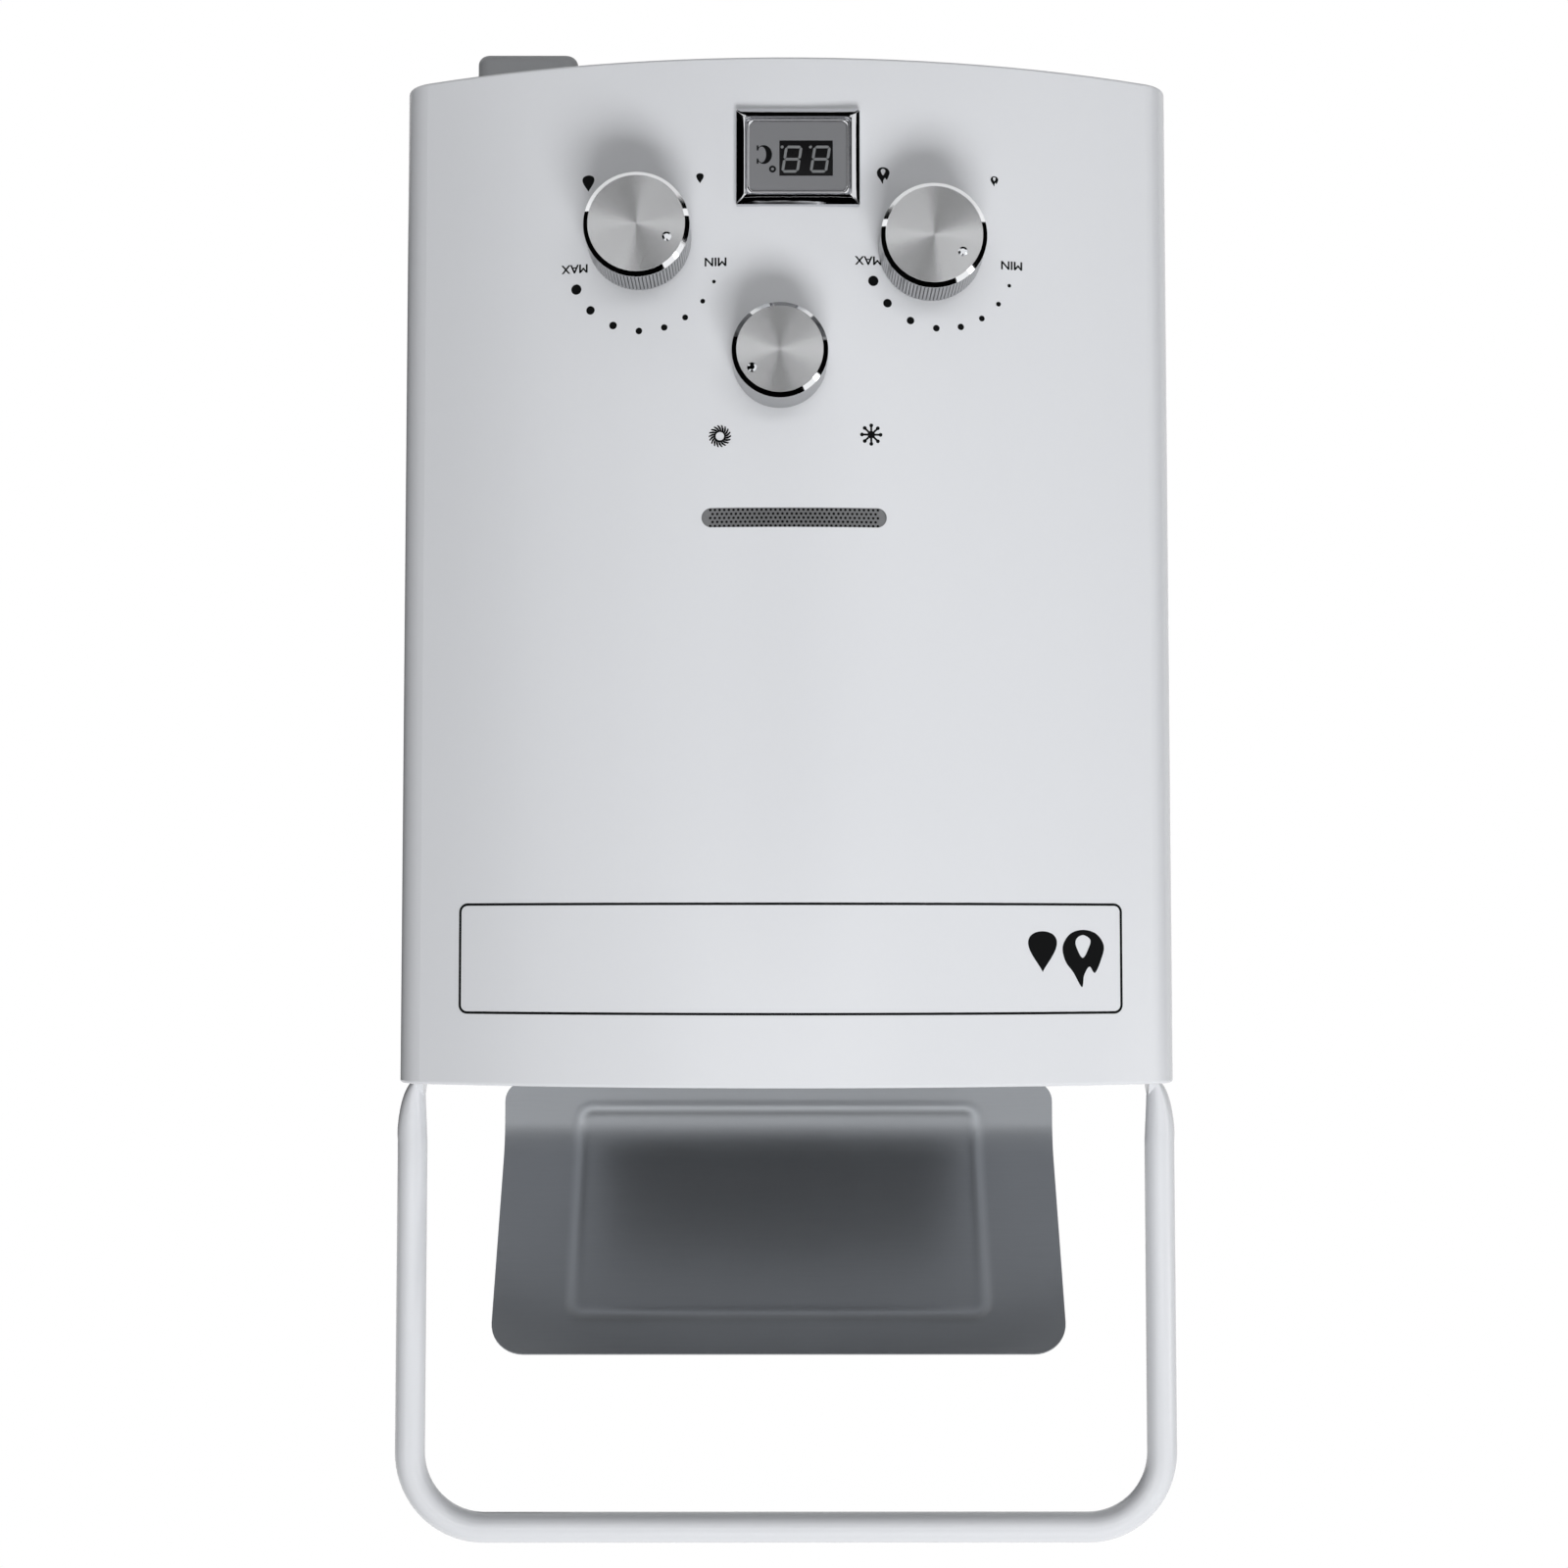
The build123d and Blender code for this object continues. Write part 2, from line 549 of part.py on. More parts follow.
def bead_arch(plane, reach, inset):
    """Half of the pressed bead: an arch of three sides with two rounded corners, open at the bend."""
    with BuildSketch(plane) as arch:
        RectangleRounded(BEAD_OUTER_WIDTH - 2 * inset, 2 * (reach - inset), BEAD_CORNER - inset)
        RectangleRounded(BEAD_INNER_WIDTH + 2 * inset, 2 * (reach - BEAD_WIDTH + inset),
                         BEAD_CORNER - BEAD_WIDTH + inset, mode=Mode.SUBTRACT)
        with Locations((0, -reach)):
            Rectangle(2 * BEAD_OUTER_WIDTH, 2 * reach, mode=Mode.SUBTRACT)
    return arch.sketch


with BuildPart() as flue_deflector:
    with BuildSketch(across(FLUE_X)):
        with BuildLine():
            FilletPolyline((-DEFLECTOR_BACK, CASE_HEIGHT + DEFLECTOR_GAP), (-DEFLECTOR_BACK, BEND_HEIGHT),
                           HOOD_TIP, radius=HOOD_BEND_RADIUS)
            offset(amount=DEFLECTOR_SHEET, side=Side.LEFT)
        make_face()
    extrude(amount=DEFLECTOR_WIDTH / 2, both=True)
    for end, radius in ((-1, HOOD_CORNER), (0, FLANGE_CORNER)):
        corners = flue_deflector.edges().filter_by(spans_sheet)
        fillet(corners.group_by(Axis.Z)[end], radius)
    with BuildSketch(across(FLUE_X)):
        with BuildLine():
            Polyline((-DEFLECTOR_BACK - FOOT_DEPTH, TOP_SKIN + DEFLECTOR_SHEET),
                     (-DEFLECTOR_BACK - FOOT_DEPTH, TOP_SKIN), (-DEFLECTOR_BACK, TOP_SKIN),
                     (-DEFLECTOR_BACK, BEND_HEIGHT - FLANGE_CORNER),
                     (-DEFLECTOR_BACK - DEFLECTOR_SHEET, BEND_HEIGHT - FLANGE_CORNER),
                     (-DEFLECTOR_BACK - DEFLECTOR_SHEET, TOP_SKIN + DEFLECTOR_SHEET), close=True)
        make_face()
    extrude(amount=FOOT_WIDTH / 2, both=True)
    with BuildSketch(level(TOP_SKIN)):
        with Locations((FLUE_X, -DEFLECTOR_BACK - FOOT_DEPTH / 2)):
            with GridLocations(FOOT_SCREW_SPACING, 0, 2, 1):
                Circle(SCREW_RADIUS + SCREW_FIT)
    extrude(amount=DEFLECTOR_SHEET, mode=Mode.SUBTRACT)
    for plane, reach in ((HOOD_PLANE, HOOD_BEAD_TOP), (FLANGE_PLANE, FLANGE_BEAD_DROP)):
        extrude(bead_arch(plane.offset(DEFLECTOR_SHEET), reach, 0), amount=BEAD_HEIGHT)
        extrude(bead_arch(plane, reach, DEFLECTOR_SHEET / 2), amount=BEAD_HEIGHT, mode=Mode.SUBTRACT)
write(flue_deflector.part, "flue_deflector")

# ============================================================ carry handle
# Steel tube bent to a bail, its ends pressed flat and drilled for the pivots.
def pressed_section(share):
    """Thickness, width and inner side of the tube, from its flat end to its round."""
    flat = TAB_THICKNESS / (2 * TUBE_RADIUS)
    thickness = 2 * TUBE_RADIUS * sqrt(1 - (1 - flat ** 2) * (1 - share) ** 2)
    roundness = (thickness - TAB_THICKNESS) / (2 * TUBE_RADIUS - TAB_THICKNESS)
    width = TAB_WIDTH + roundness * (2 * TUBE_RADIUS - TAB_WIDTH)
    return thickness, width, TAB_INNER_X + share * (LEG_X - TUBE_RADIUS - TAB_INNER_X)


BAR_HEIGHT = PIVOT_HEIGHT + HANDLE_REACH
TAB_HEIGHT = CASE_HEIGHT + TAB_TOP
TAPER_HEIGHT = TAB_HEIGHT + TAPER_LENGTH
with BuildPart() as handle_tube:
    with BuildLine(facing(PIVOT_DEPTH)) as bail:
        FilletPolyline((0, BAR_HEIGHT), (LEG_X, BAR_HEIGHT), (LEG_X, TAPER_HEIGHT),
                       radius=HANDLE_CORNER)
    with BuildSketch(Plane(origin=bail.line @ 0, z_dir=bail.line % 0)):
        Circle(TUBE_RADIUS)
        Circle(TUBE_RADIUS - TUBE_WALL, mode=Mode.SUBTRACT)
    sweep()
    for share in TAPER_SHARES:
        thickness, width, inner_x = pressed_section(share)
        with BuildSketch(level(TAB_HEIGHT + share * TAPER_LENGTH)):
            with Locations((inner_x + thickness / 2, -PIVOT_DEPTH)):
                Ellipse(thickness / 2, width / 2)
    loft()
    with BuildSketch(across(TAB_INNER_X)):
        with Locations((-PIVOT_DEPTH, (PIVOT_HEIGHT + TAB_HEIGHT) / 2)):
            SlotCenterToCenter(TAB_HEIGHT - PIVOT_HEIGHT, TAB_WIDTH, rotation=90)
    extrude(amount=TAB_THICKNESS)
    with BuildSketch(across(TAB_INNER_X)):
        with Locations((-PIVOT_DEPTH, PIVOT_HEIGHT)):
            Circle(PIVOT_BOLT_RADIUS + RUNNING_FIT)
    extrude(amount=TAB_THICKNESS, mode=Mode.SUBTRACT)
    mirror(about=Plane.YZ)
write(handle_tube.part, "handle_tube")


def handle_pivot(side, sign):
    """Spacer and bolt of one handle pivot."""
    with BuildPart() as spacer:
        with BuildSketch(across(sign * CASE_WIDTH / 2)):
            with Locations((-PIVOT_DEPTH, PIVOT_HEIGHT)):
                Circle(SPACER_RADIUS)
                Circle(PIVOT_BOLT_RADIUS + RUNNING_FIT, mode=Mode.SUBTRACT)
        extrude(amount=sign * SPACER_THICKNESS)
    write(spacer.part, f"handle_spacer_{side}")

    with BuildPart() as bolt:
        with BuildSketch(across(sign * HEAD_X)):
            with Locations((-PIVOT_DEPTH, PIVOT_HEIGHT)):
                Circle(BOLT_HEAD_RADIUS)
        extrude(amount=sign * BOLT_HEAD_HEIGHT)
        rim = bolt.edges().sort_by(Axis.X)[-1 if sign > 0 else 0]
        fillet(rim, BOLT_HEAD_HEIGHT / 2)
        with BuildSketch(across(sign * HEAD_X)):
            with Locations((-PIVOT_DEPTH, PIVOT_HEIGHT)):
                Circle(PIVOT_BOLT_RADIUS)
        extrude(amount=-sign * (HEAD_X - INNER_HALF + PANEL_SHEET + NUT_HEIGHT + BOLT_END))
        with BuildSketch(across(sign * (HEAD_X + BOLT_HEAD_HEIGHT))):
            with Locations((-PIVOT_DEPTH, PIVOT_HEIGHT)):
                RegularPolygon(BOLT_SOCKET_RADIUS, 6)
        extrude(amount=-sign * BOLT_HEAD_HEIGHT / 2, mode=Mode.SUBTRACT)
    write(bolt.part, f"handle_bolt_{side}")


handle_pivot("left", -1)
handle_pivot("right", 1)


# ================================================================== knobs
def knob(name, place, radius, length, pointer, knurls):
    """Turned aluminium knob with its spun face, pointer stone and spindle."""
    x, height = place
    near_side = abs(x) - radius
    back = max(front_depth(x), front_depth(near_side)) + KNOB_GAP
    front = back + length
    face_radius = radius - RIM_CHAMFER
    stone_place = (x + STONE_ORBIT * cos(radians(pointer)), height + STONE_ORBIT * sin(radians(pointer)))

    with BuildPart() as body:
        with BuildSketch(facing(back)):
            with Locations(place):
                Circle(radius)
        extrude(amount=length)
        chamfer(body.edges().sort_by(Axis.Y)[0], RIM_CHAMFER)
        with BuildSketch(facing(back)):
            with Locations(place):
                Circle(radius - KNOB_WALL)
                Circle(KNOB_HUB_RADIUS, mode=Mode.SUBTRACT)
        extrude(amount=length - KNOB_FRONT_WALL, mode=Mode.SUBTRACT)
        with BuildSketch(facing(back)):
            with Locations(place):
                Circle(SPINDLE_RADIUS + RUNNING_FIT)
        extrude(amount=SPINDLE_ENGAGEMENT, mode=Mode.SUBTRACT)
        with BuildSketch(facing(front)):
            with Locations(place):
                Circle(face_radius - RUNNING_FIT)
        extrude(amount=-FACE_THICKNESS - FACE_INSET, mode=Mode.SUBTRACT)
        if knurls:
            with BuildSketch(facing(back)):
                with Locations(place):
                    with PolarLocations(radius, knurls):
                        RegularPolygon(KNURL_DEPTH, 3, rotation=180)
            extrude(amount=length - KNURL_MARGIN, mode=Mode.SUBTRACT)
    write(body.part, f"{name}_knob")

    with BuildPart() as face:
        with BuildSketch(facing(front - FACE_INSET - FACE_THICKNESS)):
            with Locations(place):
                Circle(face_radius - 2 * RUNNING_FIT)
            with Locations(stone_place):
                Circle(STONE_RADIUS, mode=Mode.SUBTRACT)
        extrude(amount=FACE_THICKNESS)
    write(face.part, f"{name}_knob_face")

    with BuildPart() as stone:
        with BuildSketch(facing(front - FACE_INSET - FACE_THICKNESS)):
            with Locations(stone_place):
                RegularPolygon(STONE_RADIUS - RUNNING_FIT, 8)
        extrude(amount=FACE_THICKNESS)
        extrude(stone.faces().sort_by(Axis.Y)[0], amount=STONE_HEIGHT, taper=STONE_SLOPE)
    write(stone.part, f"{name}_knob_stone")

    with BuildPart() as spindle:
        with BuildSketch(facing(BONNET_FRONT - GLAND_ENGAGEMENT)):
            with Locations(place):
                Circle(SPINDLE_RADIUS)
        extrude(amount=back + SPINDLE_ENGAGEMENT - BONNET_FRONT + GLAND_ENGAGEMENT)
    write(spindle.part, f"{name}_spindle")


knob("gas", GAS_KNOB, REGULATOR_KNOB_RADIUS, REGULATOR_KNOB_LENGTH, GAS_POINTER, REGULATOR_KNURLS)
knob("water", WATER_KNOB, REGULATOR_KNOB_RADIUS, REGULATOR_KNOB_LENGTH, WATER_POINTER, REGULATOR_KNURLS)
knob("season", SEASON_KNOB, SEASON_KNOB_RADIUS, SEASON_KNOB_LENGTH, SEASON_POINTER, 0)

# ================================================================ display
# Mitred chrome bezel with a neck through the cover, a grey fascia and the
# LED module behind it.
WINDOW_WIDTH = BEZEL_WIDTH - 2 * BEZEL_RIM
WINDOW_HEIGHT = BEZEL_HEIGHT - 2 * BEZEL_RIM
BEZEL_FRONT = CASE_DEPTH + BEZEL_STAND
PANEL_FRONT = BEZEL_FRONT - PANEL_RECESS
with BuildPart() as display_bezel:
    with BuildSketch(facing(CASE_DEPTH - BEZEL_STAND)):
        with Locations((DISPLAY_X, DISPLAY_HEIGHT)):
            Rectangle(BEZEL_WIDTH, BEZEL_HEIGHT)
    extrude(amount=2 * BEZEL_STAND)
    chamfer(display_bezel.faces().sort_by(Axis.Y)[0].edges(), BEZEL_BEVEL)
    with BuildSketch(level(0)):
        case_outline(-MOUNT_FIT / 2, 0)
    extrude(amount=CASE_HEIGHT, mode=Mode.SUBTRACT)
    with BuildSketch(facing(CASE_DEPTH - BEZEL_NECK)):
        with Locations((DISPLAY_X, DISPLAY_HEIGHT)):
            Rectangle(WINDOW_WIDTH + 2 * BEZEL_NECK_WALL, WINDOW_HEIGHT + 2 * BEZEL_NECK_WALL)
    extrude(amount=BEZEL_NECK + BEZEL_STAND - BEZEL_BEVEL)
    with BuildSketch(facing(CASE_DEPTH - BEZEL_NECK)):
        with Locations((DISPLAY_X, DISPLAY_HEIGHT)):
            Rectangle(WINDOW_WIDTH, WINDOW_HEIGHT)
    extrude(amount=BEZEL_NECK + BEZEL_STAND, mode=Mode.SUBTRACT)
write(display_bezel.part, "display_bezel")

LED_PLACE = (DISPLAY_X + LED_SHIFT_X, DISPLAY_HEIGHT + LED_SHIFT_Z)
with BuildPart() as display_fascia:
    with BuildSketch(facing(PANEL_FRONT - PANEL_THICKNESS)):
        with Locations((DISPLAY_X, DISPLAY_HEIGHT)):
            RectangleRounded(WINDOW_WIDTH - 2 * MOUNT_FIT, WINDOW_HEIGHT - 2 * MOUNT_FIT, PANEL_CORNER)
        with Locations(LED_PLACE):
            Rectangle(LED_WIDTH, LED_HEIGHT, mode=Mode.SUBTRACT)
    extrude(amount=PANEL_THICKNESS)
write(display_fascia.part, "display_fascia")

with BuildPart() as display_module:
    with BuildSketch(facing(PANEL_FRONT - PANEL_THICKNESS - MODULE_DEPTH)):
        with Locations((DISPLAY_X, DISPLAY_HEIGHT)):
            RectangleRounded(WINDOW_WIDTH - 2 * MOUNT_FIT, WINDOW_HEIGHT - 2 * MOUNT_FIT, PANEL_CORNER)
    extrude(amount=MODULE_DEPTH)
    with BuildSketch(facing(PANEL_FRONT - PANEL_THICKNESS)):
        with Locations(LED_PLACE):
            Rectangle(LED_WIDTH - 2 * MOUNT_FIT, LED_HEIGHT - 2 * MOUNT_FIT)
    extrude(amount=PANEL_THICKNESS - MOUNT_FIT)
write(display_module.part, "display_module")

# Flame viewport: a perforated strip bent to the cover and lying behind its slot,
# its holes in staggered rows.
MESH_ROW_PITCH = MESH_PITCH * sin(radians(60))
with BuildPart() as viewport_mesh:
    with BuildSketch(level(VIEWPORT_HEIGHT - VIEWPORT_SLOT / 2 - MESH_MARGIN)):
        case_outline(SHEET + MOUNT_FIT, 0)
        case_outline(SHEET + MOUNT_FIT + MESH_SHEET, -CUT_MARGIN, mode=Mode.SUBTRACT)
        with Locations((VIEWPORT_X, -CASE_DEPTH)):
            Rectangle(VIEWPORT_WIDTH + 2 * MESH_MARGIN, CASE_DEPTH, mode=Mode.INTERSECT)
    extrude(amount=VIEWPORT_SLOT + 2 * MESH_MARGIN)
    with BuildSketch(facing(CORNER_DEPTH)):
        for row in range(MESH_ROWS):
            row_height = VIEWPORT_HEIGHT + (row - (MESH_ROWS - 1) / 2) * MESH_ROW_PITCH
            with Locations((VIEWPORT_X, row_height)):
                with GridLocations(MESH_PITCH, 0, MESH_COLUMNS - row % 2, 1):
                    Circle(MESH_HOLE_RADIUS)
    extrude(amount=CASE_DEPTH, mode=Mode.SUBTRACT)
write(viewport_mesh.part, "viewport_mesh")

# ============================================================ battery bay
# Moulded box for two upright cells; its collar and hinged lid show below the case.
INNER_BOX_WIDTH = BATTERY_WIDTH - 2 * BATTERY_INSET
INNER_BOX_LENGTH = BATTERY_LENGTH - 2 * BATTERY_INSET
LID_TOP = -BATTERY_COLLAR - LID_GAP
KNUCKLE_GAP = SIDE_CLEARANCE
HINGE_DEPTH = BATTERY_BACK - LID_GAP - LID_HINGE_RADIUS
HINGE_HEIGHT = LID_TOP - LID_HINGE_RADIUS
with BuildPart() as battery_box:
    with BuildSketch(level(SHEET)):
        with Locations((BATTERY_X, -BATTERY_DEPTH)):
            RectangleRounded(INNER_BOX_WIDTH, INNER_BOX_LENGTH, BATTERY_CORNER)
    extrude(amount=BATTERY_RISE)
    with BuildSketch(level(-BATTERY_COLLAR)):
        with Locations((BATTERY_X, -BATTERY_DEPTH)):
            RectangleRounded(BATTERY_WIDTH, BATTERY_LENGTH, BATTERY_CORNER)
    extrude(amount=BATTERY_COLLAR + SHEET)
    with BuildSketch(level(-BATTERY_COLLAR)):
        with Locations((BATTERY_X, -BATTERY_DEPTH)):
            RectangleRounded(INNER_BOX_WIDTH - 2 * BATTERY_WALL, INNER_BOX_LENGTH - 2 * BATTERY_WALL,
                             BATTERY_CORNER - BATTERY_WALL)
    extrude(amount=BATTERY_COLLAR + SHEET + BATTERY_RISE - BATTERY_WALL, mode=Mode.SUBTRACT)
    # the two outer knuckles of the lid's hinge
    for start in (-1.5, 0.5):
        with BuildSketch(across(BATTERY_X + start * LID_KNUCKLE_LENGTH + KNUCKLE_GAP / 2)):
            with BuildLine():
                Polyline((LID_HINGE_RADIUS - HINGE_DEPTH, HINGE_HEIGHT),
                         (LID_HINGE_RADIUS - HINGE_DEPTH, 0), (-BATTERY_BACK - BATTERY_WALL, 0),
                         (-BATTERY_BACK - BATTERY_WALL, -BATTERY_COLLAR),
                         (-HINGE_DEPTH - LID_HINGE_RADIUS, -BATTERY_COLLAR),
                         (-HINGE_DEPTH - LID_HINGE_RADIUS, HINGE_HEIGHT), close=True)
            make_face()
            with Locations((-HINGE_DEPTH, HINGE_HEIGHT)):
                Circle(LID_HINGE_RADIUS)
        extrude(amount=LID_KNUCKLE_LENGTH - KNUCKLE_GAP)
    with BuildSketch(across(BATTERY_X)):
        with Locations((-HINGE_DEPTH, HINGE_HEIGHT)):
            Circle(LID_PIN_RADIUS)
    extrude(amount=LID_KNUCKLE_LENGTH, both=True)
write(battery_box.part, "battery_box")

with BuildPart() as battery_lid:
    with BuildSketch(level(-BATTERY_DROP)):
        with Locations((BATTERY_X, -BATTERY_DEPTH)):
            RectangleRounded(BATTERY_WIDTH, BATTERY_LENGTH, BATTERY_CORNER)
    extrude(amount=BATTERY_DROP + LID_TOP)
    fillet(battery_lid.faces().sort_by(Axis.Z)[0].edges(), BATTERY_CORNER - BATTERY_WALL)
    with BuildSketch(level(LID_TOP)):
        with Locations((BATTERY_X, -BATTERY_DEPTH)):
            RectangleRounded(BATTERY_WIDTH - 2 * BATTERY_WALL, BATTERY_LENGTH - 2 * BATTERY_WALL,
                             BATTERY_CORNER - BATTERY_WALL)
    extrude(amount=BATTERY_WALL - BATTERY_DROP - LID_TOP, mode=Mode.SUBTRACT)
    with BuildSketch(across(BATTERY_X - LID_KNUCKLE_LENGTH / 2 + KNUCKLE_GAP / 2)):
        with Locations((-HINGE_DEPTH - LID_HINGE_RADIUS / 2, HINGE_HEIGHT)):
            Rectangle(LID_HINGE_RADIUS + 2 * LID_GAP + BATTERY_WALL, LID_HINGE_RADIUS)
        with Locations((-HINGE_DEPTH, HINGE_HEIGHT)):
            Circle(LID_HINGE_RADIUS)
            Circle(LID_PIN_RADIUS + RUNNING_FIT, mode=Mode.SUBTRACT)
    extrude(amount=LID_KNUCKLE_LENGTH - KNUCKLE_GAP)
write(battery_lid.part, "battery_lid")

CELL_PITCH = INNER_BOX_LENGTH / 2 - BATTERY_WALL
CONTACT_HEIGHT = SHEET + BATTERY_RISE - BATTERY_WALL
with BuildPart() as battery_contacts:
    with BuildSketch(level(CONTACT_HEIGHT)):
        with Locations((BATTERY_X, -BATTERY_DEPTH)):
            Rectangle(2 * CONTACT_RADIUS, CELL_PITCH + 2 * CONTACT_RADIUS)
    extrude(amount=-CONTACT_SHEET)
    with BuildSketch(level(CONTACT_HEIGHT - CONTACT_SHEET)):
        with Locations((BATTERY_X, -BATTERY_DEPTH)):
            with GridLocations(0, CELL_PITCH, 1, 2):
                Circle(CONTACT_RADIUS / 2)
    extrude(amount=-CONTACT_RISE, taper=CONTACT_SLOPE)
write(battery_contacts.part, "battery_contacts")


# ============================================================= pipe stubs
def pipe_stub(name, x, top):
    """Male threaded stub with a shoulder through the bottom plate, seated on it by its hexagon."""
    with BuildPart() as stub:
        with BuildSketch(level(-STUB_DROP)):
            with Locations((x, -STUB_DEPTH)):
                Circle(STUB_RADIUS)
        extrude(amount=STUB_DROP + top)
        with BuildSketch(level(STUB_THREAD - STUB_DROP)):
            with Locations((x, -STUB_DEPTH)):
                Circle(STUB_SHOULDER_RADIUS)
        extrude(amount=STUB_DROP - STUB_THREAD + FLOOR_TOP)
        with BuildSketch(level(FLOOR_TOP)):
            with Locations((x, -STUB_DEPTH)):
                RegularPolygon(STUB_FLANGE_RADIUS, 6, major_radius=False)
        extrude(amount=STUB_FLANGE_HEIGHT)
        with BuildSketch(level(-STUB_DROP)):
            with Locations((x, -STUB_DEPTH)):
                Circle(STUB_BORE_RADIUS)
        extrude(amount=STUB_DROP + top, mode=Mode.SUBTRACT)
    write(stub.part, name)


pipe_stub("gas_inlet", GAS_KNOB[0], GAS_VALVE_BASE)
pipe_stub("cold_water_inlet", WATER_KNOB[0], WATER_VALVE_BASE)
pipe_stub("hot_water_outlet", HOT_STUB_X, HOT_STUB_TOP)

with BuildPart() as drain_plug:
    with BuildSketch(level(-DRAIN_DROP)):
        with Locations((WATER_KNOB[0], -DRAIN_DEPTH)):
            RegularPolygon(DRAIN_HEAD_RADIUS, 12)
    extrude(amount=DRAIN_HEAD_HEIGHT)
    with BuildSketch(level(-DRAIN_DROP)):
        with Locations((WATER_KNOB[0], -DRAIN_DEPTH)):
            Circle(DRAIN_RADIUS)
    extrude(amount=DRAIN_DROP + WATER_VALVE_BASE)
write(drain_plug.part, "drain_plug")


# ================================================= valves and their linkage
GLAND_DEPTH = GLAND_ENGAGEMENT + GLAND_END_ROOM
ROD_BORE_DEPTH = ROD_GRIP + PUSH_ROD_TRAVEL + ROD_END_ROOM


def disc(plane, place, radius):
    """Round profile on a plane."""
    with BuildSketch(plane) as profile:
        with Locations(place):
            Circle(radius)
    return profile.sketch


with BuildPart() as gas_valve_body:
    with BuildSketch(facing(VALVE_BACK)):
        with Locations(GAS_KNOB):
            RectangleRounded(VALVE_WIDTH, VALVE_HEIGHT, VALVE_CORNER)
    extrude(amount=VALVE_LENGTH)
    extrude(disc(facing(VALVE_FRONT), GAS_KNOB, BONNET_RADIUS), amount=BONNET_LENGTH)
    extrude(disc(facing(BONNET_FRONT), GAS_KNOB, SPINDLE_RADIUS + RUNNING_FIT), amount=-GLAND_DEPTH,
            mode=Mode.SUBTRACT)
    extrude(disc(across(GAS_VALVE_RIGHT), ROD_PLACE, NECK_RADIUS), amount=NECK_LENGTH)
    extrude(disc(across(GAS_VALVE_RIGHT + NECK_LENGTH), ROD_PLACE, PUSH_ROD_RADIUS + RUNNING_FIT),
            amount=-ROD_BORE_DEPTH, mode=Mode.SUBTRACT)
write(gas_valve_body.part, "gas_valve_body")

with BuildPart() as water_valve_body:
    with BuildSketch(facing(VALVE_BACK)):
        with Locations(WATER_KNOB):
            RectangleRounded(VALVE_WIDTH, VALVE_HEIGHT, VALVE_CORNER)
    extrude(amount=VALVE_LENGTH)
    extrude(disc(facing(VALVE_FRONT), WATER_KNOB, BONNET_RADIUS), amount=BONNET_LENGTH)
    extrude(disc(facing(BONNET_FRONT), WATER_KNOB, SPINDLE_RADIUS + RUNNING_FIT), amount=-GLAND_DEPTH,
            mode=Mode.SUBTRACT)
    extrude(disc(across(DIAPHRAGM_FACE_X), ROD_PLACE, DIAPHRAGM_RADIUS), amount=DIAPHRAGM_HALF)
write(water_valve_body.part, "water_valve_body")

COVER_LEFT_X = DIAPHRAGM_FACE_X - DIAPHRAGM_HALF
with BuildPart() as diaphragm_cover:
    extrude(disc(across(DIAPHRAGM_FACE_X), ROD_PLACE, DIAPHRAGM_RADIUS), amount=-DIAPHRAGM_HALF)
    extrude(disc(across(COVER_LEFT_X), ROD_PLACE, NECK_RADIUS), amount=-NECK_LENGTH)
    extrude(disc(across(DIAPHRAGM_FACE_X), ROD_PLACE, CAVITY_RADIUS), amount=-CAVITY_DEPTH,
            mode=Mode.SUBTRACT)
    extrude(disc(across(DIAPHRAGM_FACE_X), ROD_PLACE, PUSH_ROD_RADIUS + RUNNING_FIT),
            amount=-DIAPHRAGM_HALF - NECK_LENGTH, mode=Mode.SUBTRACT)
write(diaphragm_cover.part, "diaphragm_cover")

ROD_LEFT_X = GAS_VALVE_RIGHT + NECK_LENGTH - ROD_GRIP
DISC_RIGHT_X = DIAPHRAGM_FACE_X - DISC_GAP
with BuildPart() as push_rod:
    extrude(disc(across(ROD_LEFT_X), ROD_PLACE, PUSH_ROD_RADIUS), amount=DISC_RIGHT_X - ROD_LEFT_X)
    extrude(disc(across(DISC_RIGHT_X), ROD_PLACE, DISC_RADIUS), amount=-DISC_THICKNESS)
    extrude(disc(across(COLLAR_X), ROD_PLACE, COLLAR_RADIUS), amount=COLLAR_LENGTH / 2, both=True)
write(push_rod.part, "push_rod")

